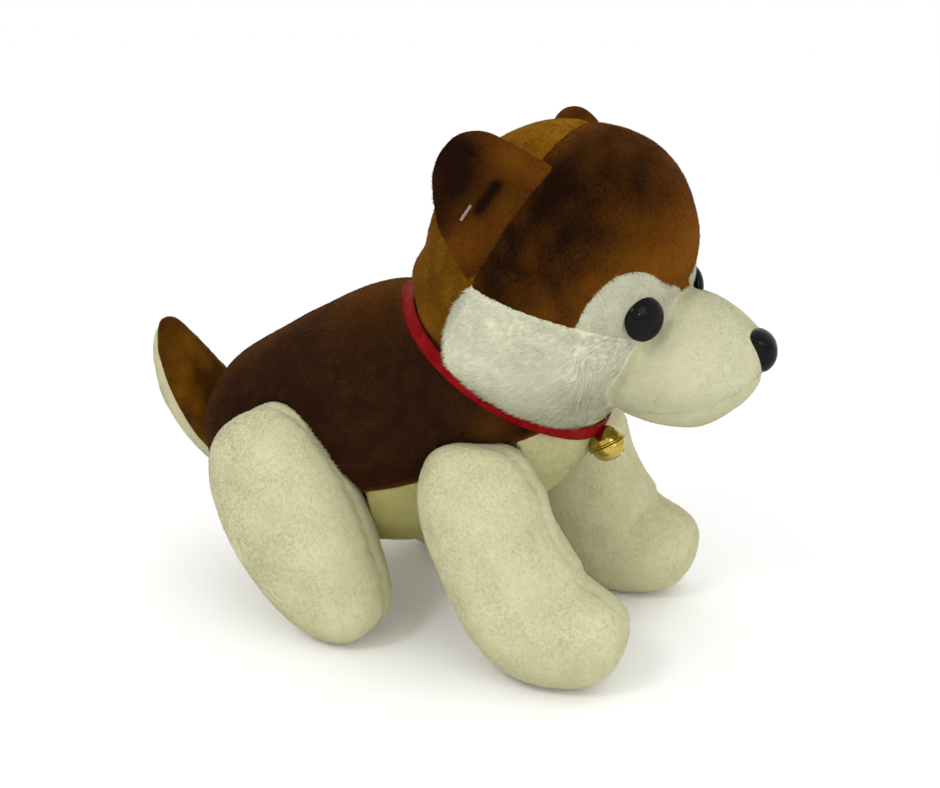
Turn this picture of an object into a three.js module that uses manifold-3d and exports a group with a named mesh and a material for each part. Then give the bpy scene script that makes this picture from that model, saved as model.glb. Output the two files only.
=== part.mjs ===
// Plush dog, crouching on four stubby legs, with a ribbon collar and a jingle bell.
// Millimetres. The dog faces +X, its right side is -Y, +Z is up and it stands on Z = 0.
// It is sewn from pile fabric panels over stuffing, with snap-in safety eyes and nose.

import * as THREE from 'three';
import { mergeVertices } from 'three/addons/utils/BufferGeometryUtils.js';
import Module from 'manifold-3d';

const wasm = await Module();
wasm.setup();

// ---------------------------------------------------------------- driving dimensions

const CENTRE_X = -16.4; // middle of the dog's length, measured in the drawing frame below
const FLOOR_Z = 2.6; // height of the floor in that frame
const FABRIC = 2.4; // pile fabric, backing and pile together
const GAP = 0.3; // clearance between pieces that touch
const REACH = 200; // longer than the dog, for tools that cut right through
const MUZZLE_SEAM = 0.3; // clearance along the seam round the muzzle

const HEAD_CENTRE = [40, 0, 155]; // the head turns and nods about this point
const NECK_AXIS = [0.54, 0, 0.84]; // from the middle of the body up into the head
const NECK_BALL = 58.5; // radius of the neck joint about HEAD_CENTRE
const SOCKET_GAP = 1.2; // the torso's socket is this much larger than the neck ball
const LEG_SWING = 10; // degrees each way
const TAIL_SWING = 20;
const EAR_BACK = 8;
const EAR_FORWARD = 30;
const SWING_ROOM = 2.4; // the pockets round the legs and tail are this much larger
const FRONT_LEG_PIVOT = [26, -50, 84];
const HIND_LEG_PIVOT = [-70, -50, 78];
const TAIL_PIVOT = [-112, 0, 62];
const SIDE_AXIS = [0, 1, 0];

const WAD_TOP = 50; // top of the neck's wad, as a ball about HEAD_CENTRE
const WAD_RADIUS = 27;
const WAD_ROOM = 36; // radius of the hollow in the head that the wad nods in
const NECK_START = 22; // below HEAD_CENTRE, where the head starts to follow the neck ball
const NECK_BAR = 120; // radius of tools that cut right across the neck

const RIBBON_WIDTH = 6;
const RIBBON_THICK = 1;
const RIBBON_TOP = 39; // below HEAD_CENTRE, along the neck axis
const BELL_RADIUS = 7.2;
const BELL_WALL = 0.8;
const BELL_RIM = 0.9; // the crimped rim stands out this far round the bell's middle
const LOOP_RADIUS = 2.6;
const LOOP_WIRE = 0.5;
const PELLET_RADIUS = 2.2;
const BELL_HANGER = [56.4, 0, 94.6]; // middle of the loop, on the ribbon's centre line
const BELL_AXIS = [0.5, 0, -0.87]; // from the loop through the bell
const BELL_DROP = 9.8; // from the middle of the loop to the bell's middle
const BELL_CENTRE = BELL_HANGER.map((value, i) => value + BELL_AXIS[i] * BELL_DROP);
const BELL_CLEARANCE = 1.6;
const EYE_POINT = [83.5, -30, 147.4];
const EYE_OUTWARD = [0.8, -0.58, 0.02];
const EYE_RADIUS = 8.4;
const EYE_HEIGHT = 5;
const EYE_SEAT = 0.5; // from EYE_POINT out to the back of the dome, pressed into the pile
const NOSE_POINT = [119.8, 0, 132];
const NOSE_OUTWARD = [0.97, 0, 0.25];
const NOSE_THICK = 9;
const POST_RADIUS = 2.2;
const HOLE_RADIUS = POST_RADIUS + 2 * GAP;
const EYE_POST = 11;
const NOSE_POST = 12;
const WASHER_RADIUS = 7;
const WASHER_THICK = 1.4;
const WASHER_AT = -6.4; // from EYE_POINT in to the washer's inner face
const EAR_LAYER = 2.2;
const EAR_PARTING = 0.7; // clearance between the ear's two layers
const EAR_CUP = 6; // how far the ear's middle dips behind its ends
const EAR_BASE_RISE = 3; // how far the middle of its base comes forward
const EAR_CUP_AT = 18; // distance from the base where the dip is full
const FASTENER_AT = [20, 15.4]; // on the right ear, along its base and away from the head
const FASTENER_FRONT = 3.6; // from the ear's middle layer to the bar and to the button
const FASTENER_BACK = -3.1;

// Stations of each stuffed form: [x, y, z, half width, half size on the upper or front
// side, half size on the lower or back side]. A form is a smooth loft through them.

const TORSO = [
  [-123, 0, 66, 38, 38, 38],
  [-100, 0, 71, 46, 43.5, 46],
  [-62, 0, 79, 51, 51, 53],
  [-24, 0, 91, 52, 54, 56],
  [7, 0, 107, 49, 50, 54],
  [25, 0, 131, 52, 51, 53],
  [40, 0, 158, 52, 48, 52],
];

const CRANIUM = [
  [-9, 0, 152, 50, 49, 46],
  [14, 0, 154, 53, 55, 54],
  [38, 0, 155, 54, 59, 56],
  [64, 0, 154, 53, 61, 55],
  [90, 0, 151, 50, 57, 50],
];

const MUZZLE = [
  [52, 0, 124, 28, 26, 26],
  [76, 0, 125, 30, 27, 26.5],
  [96, 0, 126, 29, 27, 26],
  [112, 0, 128, 24, 21, 19.5],
  [122, 0, 130, 17, 15, 14],
];

const FRONT_LEG = [
  [26, -42, 94.5, 20, 26, 26],
  [26, -46.5, 77, 23, 27.5, 27],
  [33, -47, 54, 24, 26, 24.5],
  [54, -47, 27.3, 25, 27.5, 28.4],
  [86.5, -46.5, 24, 24, 25, 24.5],
];

const HIND_LEG = [
  [-81, -48, 93, 20, 28, 26],
  [-70, -51, 77, 23, 30, 28.5],
  [-56, -52, 54, 24, 31, 30],
  [-41.5, -52, 30.4, 24, 29.5, 28],
  [-22, -52, 8, 23, 27, 26],
];

const TAIL = [
  [-106, 0, 50, 16, 17, 17],
  [-125, 0, 66, 17, 17, 18],
  [-141, 0, 84, 16, 15, 16],
  [-151, 0, 102, 12, 11, 12],
  [-155, 0, 115, 8, 7, 8],
];

// The seam round each right leg lies in a plane at this Y.
const FRONT_LEG_SEAM_Y = -47;
const HIND_LEG_SEAM_Y = -51.5;

// Seam lines, drawn on the side view as [x, z].

const SADDLE_SEAM = [
  [-150, 50],
  [-128, 48],
  [-100, 50],
  [-60, 57],
  [-20, 67],
  [5, 76],
  [28, 89],
  [46, 97],
];
const SADDLE_FRONT = [
  [46, 97],
  [46, 104],
  [50, 125],
];
const CHEEK_CORNER = [24, 158];
const BROW_CORNER = [64, 145];
const CROWN_BACK_SEAM = [CHEEK_CORNER, [33, 178], [44, 200], [52, 216], [55, 240]];
const CROWN_CHEEK_SEAM = [CHEEK_CORNER, [44, 151], BROW_CORNER];
const PATCH_TOP_SEAM = [BROW_CORNER, [69, 155], [77, 162], [85, 161], [91, 152]];
const PATCH_FRONT = [[91, 152], [91, 134]];
const PATCH_LOW_SEAM = [BROW_CORNER, [74, 141], [91, 134]];
const CHEEK_BACK_SEAM = [CHEEK_CORNER, [15, 148], [11, 136], [8, 122], [4, 80]];
const CHIN_SEAM = [[50, 108], [80, 106], [100, 109], [114, 117], [126, 124]];
const TAIL_SEAM = [[-100, 20], [-119, 50], [-134, 70], [-146, 89], [-156, 108], [-162, 126]];

// Ear outline in the ear's own plane: along the base, then away from the head.

const EAR_OUTLINE = [
  [0, -7],
  [5, 10],
  [12, 22],
  [22, 31],
  [32, 35],
  [42, 33],
  [48, 25],
  [50, 12],
  [49, -7],
  [26, -10],
];
const EAR_BASE_LOW = [23, -50, 160];
const EAR_BASE_HIGH = [46, -36, 199];
const EAR_OUTWARD = [-0.66, -0.48, 0.58];

// The nose is a domed, rounded triangle with its broad side up.
const NOSE_OUTLINE = [
  [-8.2, 6],
  [-4, 8],
  [0, 8.4],
  [4, 8],
  [8.2, 6],
  [8, 1],
  [4.4, -5.5],
  [0, -8.6],
  [-4.4, -5.5],
  [-8, 1],
];

// ---------------------------------------------------------------- colours

const DARK_BROWN = { color: 0x2b130a, roughness: 0.85, metalness: 0 };
const CROWN_BROWN = { color: 0x4a2509, roughness: 0.8, metalness: 0 };
const GOLDEN_BROWN = { color: 0x7a4a12, roughness: 0.8, metalness: 0 };
const CREAM = { color: 0xd6d3a8, roughness: 0.9, metalness: 0 };
const WHITE_PILE = { color: 0xe2e3cf, roughness: 0.95, metalness: 0 };
const STUFFING = { color: 0xf2f2ee, roughness: 1, metalness: 0 };
const BLACK_PLASTIC = { color: 0x0b0b0e, roughness: 0.12, metalness: 0 };
const WASHER_PLASTIC = { color: 0xdcdcd6, roughness: 0.5, metalness: 0 };
const RED_RIBBON = { color: 0xb00d1c, roughness: 0.45, metalness: 0 };
const GOLD_METAL = { color: 0xc9a227, roughness: 0.22, metalness: 1 };
const STEEL = { color: 0x9a9a9a, roughness: 0.35, metalness: 1 };
const CLEAR_PLASTIC = { color: 0xd8d8d2, roughness: 0.2, metalness: 0 };

// ---------------------------------------------------------------- geometry helpers

const vector = (point) => new THREE.Vector3(...point);

function welded(geometry) {
  geometry.deleteAttribute('normal');
  geometry.deleteAttribute('uv');
  return mergeVertices(geometry, 1e-4);
}

function toSolid(geometry) {
  const bare = welded(geometry.clone());
  return new wasm.Manifold(
    new wasm.Mesh({
      numProp: 3,
      vertProperties: new Float32Array(bare.attributes.position.array),
      triVerts: new Uint32Array(bare.index.array),
    }),
  );
}

function toGeometry(solid) {
  const mesh = solid.getMesh();
  const geometry = new THREE.BufferGeometry();
  geometry.setAttribute('position', new THREE.BufferAttribute(mesh.vertProperties, 3));
  geometry.setIndex(new THREE.BufferAttribute(mesh.triVerts, 1));
  geometry.computeVertexNormals();
  return geometry;
}

function moved(geometry, change) {
  const copy = geometry.clone();
  const position = copy.attributes.position;
  const point = new THREE.Vector3();
  for (let i = 0; i < position.count; i += 1) {
    point.fromBufferAttribute(position, i);
    change(point);
    position.setXYZ(i, point.x, point.y, point.z);
  }
  return copy;
}

// The form moved out, or in, along its own surface normals.
function swollen(geometry, distance) {
  const copy = welded(geometry.clone());
  copy.computeVertexNormals();
  const { position, normal } = copy.attributes;
  for (let i = 0; i < position.count; i += 1) {
    position.setXYZ(
      i,
      position.getX(i) + normal.getX(i) * distance,
      position.getY(i) + normal.getY(i) * distance,
      position.getZ(i) + normal.getZ(i) * distance,
    );
  }
  return copy;
}

// A rounded body lofted through its stations. Both ends close like a sphere's, and a
// lower roundness exponent makes them blunter.
function stuffedForm(stations, around, along, roundness) {
  const spine = new THREE.CatmullRomCurve3(stations.map((s) => vector(s.slice(0, 3))));
  const girth = new THREE.CatmullRomCurve3(stations.map((s) => vector(s.slice(3, 6))));
  const globe = welded(new THREE.SphereGeometry(1, around, along));
  return moved(globe, (point) => {
    const at = THREE.MathUtils.clamp((1 - point.y) / 2, 0, 1);
    const ring = Math.hypot(point.x, point.z);
    const fill = ring > 1e-6 ? ring ** roundness / ring : 0;
    const size = girth.getPoint(at);
    const ahead = spine.getTangent(at);
    const side = new THREE.Vector3(0, 1, 0);
    const up = ahead.clone().cross(side).normalize();
    side.crossVectors(up, ahead).normalize();
    const sideways = point.x * fill * size.x;
    const upward = point.z * fill * (point.z > 0 ? size.y : size.z);
    point.copy(spine.getPoint(at));
    point.addScaledVector(side, sideways);
    point.addScaledVector(up, upward);
  });
}

function smoothLine(points) {
  const curve = new THREE.SplineCurve(points.map(([x, z]) => new THREE.Vector2(x, z)));
  return curve.getPoints(points.length > 2 ? (points.length - 1) * 2 : 1);
}

// A prism right across the dog, from an outline on the side view.
function sidePrism(outline) {
  const prism = new THREE.ExtrudeGeometry(new THREE.Shape(outline), {
    depth: 2 * REACH,
    bevelEnabled: false,
  });
  prism.translate(0, 0, -REACH);
  prism.rotateX(Math.PI / 2);
  return toSolid(prism);
}

// A thin blade along a seam line, which parts the fabric on either side of it.
function seamBlade(points) {
  const line = smoothLine(points);
  const offset = (i, distance) => {
    const before = line[Math.max(i - 1, 0)];
    const after = line[Math.min(i + 1, line.length - 1)];
    const along = after.clone().sub(before).normalize();
    const across = new THREE.Vector2(-along.y, along.x);
    return line[i].clone().addScaledVector(across, distance);
  };
  const left = line.map((_, i) => offset(i, GAP / 2));
  const right = line.map((_, i) => offset(i, -GAP / 2)).reverse();
  return sidePrism([...left, ...right]);
}

function region(...parts) {
  return sidePrism(parts.flatMap((part) => smoothLine(part)));
}

function corner(x, z) {
  return [[x, z], [x, z]];
}

function box(low, high) {
  const size = high.map((value, i) => value - low[i]);
  const geometry = new THREE.BoxGeometry(...size);
  geometry.translate(...high.map((value, i) => (value + low[i]) / 2));
  return toSolid(geometry);
}

function ball(radius, centre) {
  const geometry = new THREE.SphereGeometry(radius, 20, 12);
  geometry.rotateY(0.09);
  geometry.translate(...centre);
  return toSolid(geometry);
}

function joined(solids) {
  return solids.reduce((whole, solid) => whole.add(solid));
}

function turnedAbout(geometry, point, axis, degrees) {
  const copy = geometry.clone();
  const turn = new THREE.Matrix4().makeRotationAxis(
    vector(axis).normalize(),
    THREE.MathUtils.degToRad(degrees),
  );
  copy.translate(-point[0], -point[1], -point[2]);
  copy.applyMatrix4(turn);
  copy.translate(...point);
  return copy;
}

// Everything that a form passes through as it swings between two angles.
function swept(geometry, point, axis, from, to, steps) {
  const stops = [];
  for (let i = 0; i <= steps; i += 1) {
    const degrees = from + ((to - from) * i) / steps;
    stops.push(toSolid(turnedAbout(geometry, point, axis, degrees)));
  }
  return joined(stops);
}

function mirrored(solid) {
  const mesh = solid.getMesh();
  const vertices = Float32Array.from(mesh.vertProperties);
  for (let i = 1; i < vertices.length; i += 3) {
    vertices[i] *= -1;
  }
  const faces = Uint32Array.from(mesh.triVerts);
  for (let i = 0; i < faces.length; i += 3) {
    [faces[i], faces[i + 1]] = [faces[i + 1], faces[i]];
  }
  return new wasm.Manifold(
    new wasm.Mesh({ numProp: 3, vertProperties: vertices, triVerts: faces }),
  );
}

// Places a turned profile with its own +Z along a direction.
function aimed(geometry, point, direction) {
  const copy = geometry.clone();
  const turn = new THREE.Quaternion().setFromUnitVectors(
    new THREE.Vector3(0, 0, 1),
    vector(direction).normalize(),
  );
  copy.applyQuaternion(turn);
  copy.translate(...point);
  return copy;
}

// A turned piece: profile points are [radius, height] from the axis back to the axis.
function turned(profile, segments) {
  const points = profile.map(([radius, height]) => new THREE.Vector2(radius, height));
  const geometry = new THREE.LatheGeometry(points, segments);
  geometry.rotateX(Math.PI / 2);
  return geometry;
}

// ---------------------------------------------------------------- assembly

const group = new THREE.Group();

function addPiece(name, solid, finish) {
  const mesh = new THREE.Mesh(toGeometry(solid), new THREE.MeshStandardMaterial(finish));
  mesh.name = name;
  mesh.position.set(-CENTRE_X, 0, -FLOOR_Z);
  group.add(mesh);
}

function addPair(name, solid, finish) {
  addPiece(`${name}_right`, solid, finish);
  addPiece(`${name}_left`, mirrored(solid), finish);
}

const aboveFloor = box([-REACH, -REACH, FLOOR_Z], [REACH, REACH, 2 * REACH]);
const rightHalf = box([-REACH, -REACH, -REACH], [REACH, -GAP / 2, 2 * REACH]);

// ---------------------------------------------------------------- forms

const torsoForm = stuffedForm(TORSO, 22, 14, 0.6);
const craniumForm = stuffedForm(CRANIUM, 20, 13, 0.62);
const muzzleForm = stuffedForm(MUZZLE, 16, 10, 0.6);
const frontLegForm = stuffedForm(FRONT_LEG, 14, 10, 0.5);
const hindLegForm = stuffedForm(HIND_LEG, 14, 9, 0.55);
const tailForm = stuffedForm(TAIL, 12, 8, 0.6);

// The inside of the fabric and the stuffing follow plainer copies of the same forms.
const torsoCore = stuffedForm(TORSO, 14, 10, 0.6);
const craniumCore = stuffedForm(CRANIUM, 14, 9, 0.62);
const muzzleCore = stuffedForm(MUZZLE, 12, 8, 0.6);
const frontLegCore = stuffedForm(FRONT_LEG, 10, 8, 0.5);
const hindLegCore = stuffedForm(HIND_LEG, 10, 7, 0.55);
const tailCore = stuffedForm(TAIL, 8, 6, 0.6);

// Plain, slightly larger copies of the moving forms cut the room that they swing in.
const frontLegRoom = swollen(stuffedForm(FRONT_LEG, 10, 7, 0.5), SWING_ROOM);
const hindLegRoom = swollen(stuffedForm(HIND_LEG, 10, 7, 0.55), SWING_ROOM);
const tailRoom = swollen(stuffedForm(TAIL, 8, 6, 0.6), SWING_ROOM);

const outer = (form) => toSolid(form);
const lining = (core) => toSolid(swollen(core, -FABRIC));
const filling = (core) => toSolid(swollen(core, -FABRIC - GAP));

function legPocket(room, pivot) {
  const right = swept(room, pivot, SIDE_AXIS, -LEG_SWING, LEG_SWING, 2);
  return right.add(mirrored(right));
}

const pockets = joined([
  legPocket(frontLegRoom, FRONT_LEG_PIVOT),
  legPocket(hindLegRoom, HIND_LEG_PIVOT),
  swept(tailRoom, TAIL_PIVOT, [0, 0, 1], -TAIL_SWING, TAIL_SWING, 2),
  ball(NECK_BALL + SOCKET_GAP, HEAD_CENTRE),
  ball(BELL_RADIUS + BELL_CLEARANCE, BELL_CENTRE),
  ball(LOOP_RADIUS + BELL_CLEARANCE, BELL_HANGER),
]);

// ---------------------------------------------------------------- torso

const torsoSkin = outer(torsoForm)
  .subtract(lining(torsoCore))
  .subtract(pockets)
  .subtract(seamBlade(SADDLE_SEAM))
  .subtract(seamBlade(SADDLE_FRONT));
const saddleRegion = region(
  SADDLE_SEAM,
  SADDLE_FRONT,
  corner(50, 240),
  corner(-180, 240),
  corner(-180, 50),
);

addPiece('back_panel', torsoSkin.intersect(saddleRegion), DARK_BROWN);
addPiece('belly_panel', torsoSkin.subtract(saddleRegion), CREAM);
addPiece('torso_stuffing', filling(torsoCore).subtract(pockets), STUFFING);

// ---------------------------------------------------------------- neck

// A firm wad of stuffing, round below in the torso's socket and round above in the head.
const neckDown = vector(NECK_AXIS).normalize().negate().toArray();

// A round bar along the neck axis, between two distances below the head's centre.
function neckBar(radius, from, to) {
  const bar = turned([[0, from], [radius, from], [radius, to], [0, to]], 20);
  bar.rotateZ(0.07);
  return toSolid(aimed(bar, HEAD_CENTRE, neckDown));
}

const neckBall = ball(NECK_BALL, HEAD_CENTRE);
const neckWad = neckBall
  .subtract(ball(WAD_TOP, HEAD_CENTRE))
  .intersect(neckBar(WAD_RADIUS, 0, REACH));
const nodRoom = neckBar(WAD_ROOM, 0, REACH).subtract(ball(WAD_TOP - SOCKET_GAP, HEAD_CENTRE));
addPiece('neck_stuffing', neckWad, STUFFING);

// ---------------------------------------------------------------- head

// Near the neck the head keeps inside the neck ball, so that it turns in the socket.
const belowNeck = neckBar(NECK_BAR, NECK_START, REACH).subtract(neckBall);
const neckPart = outer(torsoForm).intersect(neckBar(NECK_BAR, 0, REACH));
const neckLining = lining(torsoCore).intersect(neckBar(NECK_BAR, 0, REACH));
const neckFilling = filling(torsoCore).intersect(neckBar(NECK_BAR, GAP, REACH));
const headShell = outer(craniumForm).add(neckPart).subtract(belowNeck);
const headLining = lining(craniumCore).add(neckLining);
const headFilling = filling(craniumCore).add(neckFilling).subtract(belowNeck);

const headSeams = [
  CROWN_BACK_SEAM,
  CROWN_CHEEK_SEAM,
  PATCH_TOP_SEAM,
  PATCH_FRONT,
  PATCH_LOW_SEAM,
  CHEEK_BACK_SEAM,
];

// Turned profiles on the axes of the right eye and of the nose.
const onEye = (profile, segments) => toSolid(
  aimed(turned(profile, segments), EYE_POINT, EYE_OUTWARD),
);
const onNose = (profile, segments) => toSolid(
  aimed(turned(profile, segments), NOSE_POINT, NOSE_OUTWARD),
);
const rod = (radius, low, high) => [[0, low], [radius, low], [radius, high], [0, high]];

const domeProfile = (radius, height, back) => {
  const points = [[0, back], [radius * 0.96, back]];
  for (let i = 0; i <= 5; i += 1) {
    const angle = (i * Math.PI) / 10;
    points.push([radius * Math.cos(angle), back + 0.8 + (height - 0.8) * Math.sin(angle)]);
  }
  points[points.length - 1][0] = 0;
  return points;
};

const eyePostHole = onEye(rod(HOLE_RADIUS, -EYE_POST - GAP, 4), 10);
const nosePostHole = onNose(rod(HOLE_RADIUS, -NOSE_POST - GAP, 4), 10);
const postHoles = joined([eyePostHole, mirrored(eyePostHole), nosePostHole]);
const eyeDent = onEye(domeProfile(EYE_RADIUS + GAP, EYE_HEIGHT + GAP, EYE_SEAT - GAP), 20);
const eyeDents = eyeDent.add(mirrored(eyeDent));

const headSkin = headShell
  .subtract(headLining)
  .subtract(toSolid(swollen(muzzleForm, MUZZLE_SEAM)))
  .subtract(nodRoom)
  .subtract(postHoles)
  .subtract(eyeDents)
  .subtract(joined(headSeams.map(seamBlade)));

const backRegion = region(
  CHEEK_BACK_SEAM.slice().reverse(),
  CROWN_BACK_SEAM,
  corner(-120, 240),
  corner(-120, 80),
);
const crownRegion = region(
  CROWN_BACK_SEAM.slice().reverse(),
  CROWN_CHEEK_SEAM,
  PATCH_TOP_SEAM,
  corner(160, 152),
  corner(160, 240),
);
const patchRegion = region(PATCH_TOP_SEAM, PATCH_FRONT, PATCH_LOW_SEAM.slice().reverse());
const cheekRegion = region(
  CHEEK_BACK_SEAM.slice().reverse(),
  CROWN_CHEEK_SEAM,
  PATCH_LOW_SEAM,
  corner(160, 134),
  corner(160, 20),
  corner(4, 20),
);

addPiece('crown_panel', headSkin.intersect(crownRegion), CROWN_BROWN);
addPiece('head_back_panel', headSkin.intersect(backRegion), GOLDEN_BROWN);
addPair('cheek', headSkin.intersect(cheekRegion).intersect(rightHalf), WHITE_PILE);
addPair('eye_patch', headSkin.intersect(patchRegion).intersect(rightHalf), WHITE_PILE);

const chinBlade = seamBlade(CHIN_SEAM);
const chinRegion = region(CHIN_SEAM, corner(160, 124), corner(160, 20), corner(50, 20));
const muzzleSkin = outer(muzzleForm)
  .subtract(lining(muzzleCore))
  .subtract(headShell)
  .subtract(postHoles)
  .subtract(eyeDents)
  .subtract(chinBlade);
addPiece('muzzle_panel', muzzleSkin.subtract(chinRegion), CREAM);
addPiece('chin_panel', muzzleSkin.intersect(chinRegion), CREAM);

// ---------------------------------------------------------------- safety eyes and nose

const washerProfile = (at) => [
  [POST_RADIUS + GAP, at],
  [WASHER_RADIUS, at],
  [WASHER_RADIUS, at + WASHER_THICK],
  [POST_RADIUS + GAP, at + WASHER_THICK],
  [POST_RADIUS + GAP, at],
];

const eyeDome = onEye(domeProfile(EYE_RADIUS, EYE_HEIGHT, EYE_SEAT), 20);
addPair('eye', eyeDome.add(onEye(rod(POST_RADIUS, -EYE_POST, EYE_SEAT + 1), 10)), BLACK_PLASTIC);
addPair('eye_washer', onEye(washerProfile(WASHER_AT), 14), WASHER_PLASTIC);

// A cushion-shaped plate: its outline in X and Y, its thickness in Z.
function plate(outline, thickness, around, across, edge) {
  const centre = outline
    .reduce((sum, [x, y]) => sum.add(new THREE.Vector2(x, y)), new THREE.Vector2())
    .divideScalar(outline.length);
  const corners = outline.map(([x, y]) => new THREE.Vector3(x, y, 0));
  const rim = new THREE.CatmullRomCurve3(corners, true);
  const globe = welded(new THREE.SphereGeometry(1, around, across));
  return moved(globe, (point) => {
    const radius = Math.min(Math.hypot(point.x, point.z), 1);
    const height = Math.sign(point.y) * Math.abs(point.y) ** edge;
    const turn = (Math.atan2(-point.z, point.x) / (2 * Math.PI) + 1) % 1;
    const edgePoint = rim.getPoint(turn);
    point.set(
      centre.x + (edgePoint.x - centre.x) * radius,
      centre.y + (edgePoint.y - centre.y) * radius,
      (height * thickness) / 2,
    );
  });
}

function framed(geometry, origin, right, up) {
  const x = vector(right).normalize();
  const z = x.clone().cross(vector(up)).normalize();
  const y = z.clone().cross(x);
  const copy = geometry.clone();
  copy.applyMatrix4(new THREE.Matrix4().makeBasis(x, y, z));
  copy.translate(...origin);
  return copy;
}

const noseCounterClockwise = NOSE_OUTLINE.slice().reverse();
const noseForm = moved(plate(noseCounterClockwise, NOSE_THICK, 20, 9, 0.8), (point) => {
  const fromMiddle = Math.hypot(point.x, point.y) / 9;
  point.z += 3 - 2.4 * fromMiddle * fromMiddle;
});
const noseHead = toSolid(framed(noseForm, NOSE_POINT, [0, 1, 0], [-0.25, 0, 0.97]))
  .subtract(toSolid(swollen(muzzleForm, GAP)));
addPiece('nose', noseHead.add(onNose(rod(POST_RADIUS, -NOSE_POST, 4), 10)), BLACK_PLASTIC);
addPiece('nose_washer', onNose(washerProfile(WASHER_AT - 1), 14), WASHER_PLASTIC);

const washerRoom = (at) => rod(WASHER_RADIUS + 3 * GAP, at - GAP, at + WASHER_THICK + GAP);
const eyeWasherRoom = onEye(washerRoom(WASHER_AT), 12);
const washerRooms = joined([
  eyeWasherRoom,
  mirrored(eyeWasherRoom),
  onNose(washerRoom(WASHER_AT - 1), 12),
]);
const headStuffing = headFilling
  .add(filling(muzzleCore))
  .subtract(nodRoom)
  .subtract(postHoles)
  .subtract(washerRooms);
addPiece('head_stuffing', headStuffing, STUFFING);

// ---------------------------------------------------------------- ears

const earAlong = vector(EAR_BASE_HIGH).sub(vector(EAR_BASE_LOW));
const earLength = earAlong.length();

// Height of the ear's middle layer over its own plane: forward along its base and
// cupped further out.
function earHeight(x, y) {
  const across = (x - earLength / 2) / (earLength / 2);
  const away = Math.max(y, 0) / 40;
  const cupped = THREE.MathUtils.smoothstep(y, 0, EAR_CUP_AT);
  const dip = EAR_CUP * (1 - 0.45 * away);
  return (1 - across * across) * (EAR_BASE_RISE * (1 - cupped) - dip * cupped);
}

function earLayer(offset) {
  const outline = EAR_OUTLINE.slice().reverse();
  const flat = plate(outline, EAR_LAYER, 20, 9, 0.35);
  return moved(flat, (point) => {
    point.z += offset + earHeight(point.x, point.y);
  });
}

function placedEar(offset) {
  return framed(earLayer(offset), EAR_BASE_LOW, earAlong.toArray(), EAR_OUTWARD);
}

const earTrim = swept(
  swollen(craniumForm, 1),
  EAR_BASE_LOW,
  earAlong.toArray(),
  -EAR_FORWARD,
  EAR_BACK,
  3,
);
const earOffset = (EAR_LAYER + EAR_PARTING) / 2;
const earFront = toSolid(placedEar(earOffset)).subtract(earTrim);
const earRear = toSolid(placedEar(-earOffset)).subtract(earTrim);

// A clear plastic tag fastener goes through the right ear: a bar in front, a button behind.
const fastenerHeight = earHeight(...FASTENER_AT);
const barHeight = fastenerHeight + FASTENER_FRONT;
const buttonHeight = fastenerHeight + FASTENER_BACK;
const inEar = (geometry) => toSolid(
  framed(geometry, EAR_BASE_LOW, earAlong.toArray(), EAR_OUTWARD),
);

function fastenerStem(radius) {
  const stem = new THREE.CylinderGeometry(radius, radius, barHeight - buttonHeight, 8);
  stem.rotateX(Math.PI / 2);
  stem.translate(...FASTENER_AT, (barHeight + buttonHeight) / 2);
  return inEar(stem);
}

const fastenerBar = new THREE.CylinderGeometry(0.6, 0.6, 7, 8);
fastenerBar.rotateZ(Math.PI / 2);
fastenerBar.translate(...FASTENER_AT, barHeight);
const fastenerButton = new THREE.CylinderGeometry(1.2, 1.2, 0.5, 10);
fastenerButton.rotateX(Math.PI / 2);
fastenerButton.translate(...FASTENER_AT, buttonHeight);
const stemHole = fastenerStem(0.4 + 2 * GAP);

addPiece('ear_front_panel_right', earFront.subtract(stemHole), CROWN_BROWN);
addPiece('ear_rear_panel_right', earRear.subtract(stemHole), DARK_BROWN);
addPiece('ear_front_panel_left', mirrored(earFront), CROWN_BROWN);
addPiece('ear_rear_panel_left', mirrored(earRear), DARK_BROWN);
addPiece('tag_fastener', joined([
  fastenerStem(0.4),
  inEar(fastenerBar),
  inEar(fastenerButton),
]), CLEAR_PLASTIC);

// ---------------------------------------------------------------- legs

const seamPlane = (y) => box([-REACH, y - GAP / 2, -REACH], [REACH, y + GAP / 2, 2 * REACH]);
const outerSide = (y) => box([-REACH, -REACH, -REACH], [REACH, y, 2 * REACH]);

function addLeg(name, form, core, seamY) {
  const skin = outer(form)
    .subtract(lining(core))
    .subtract(seamPlane(seamY))
    .intersect(aboveFloor);
  addPair(`${name}_outer_panel`, skin.intersect(outerSide(seamY)), CREAM);
  addPair(`${name}_inner_panel`, skin.subtract(outerSide(seamY)), CREAM);
  const inside = box([-REACH, -REACH, FLOOR_Z + FABRIC], [REACH, REACH, 2 * REACH]);
  addPair(`${name}_stuffing`, filling(core).intersect(inside), STUFFING);
}

addLeg('front_leg', frontLegForm, frontLegCore, FRONT_LEG_SEAM_Y);
addLeg('hind_leg', hindLegForm, hindLegCore, HIND_LEG_SEAM_Y);

// ---------------------------------------------------------------- tail

const tailSkin = outer(tailForm)
  .subtract(lining(tailCore))
  .subtract(seamBlade(TAIL_SEAM));
const tailRear = region(TAIL_SEAM, corner(-190, 126), corner(-190, 20));
addPiece('tail_front_panel', tailSkin.subtract(tailRear), GOLDEN_BROWN);
addPiece('tail_rear_panel', tailSkin.intersect(tailRear), CREAM);
addPiece('tail_stuffing', filling(tailCore), STUFFING);

// ---------------------------------------------------------------- collar and bell

const ribbon = toSolid(swollen(torsoForm, GAP + RIBBON_THICK))
  .subtract(toSolid(swollen(torsoForm, GAP)))
  .subtract(ball(NECK_BALL + SOCKET_GAP, HEAD_CENTRE))
  .intersect(neckBar(90, RIBBON_TOP, RIBBON_TOP + RIBBON_WIDTH));

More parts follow.
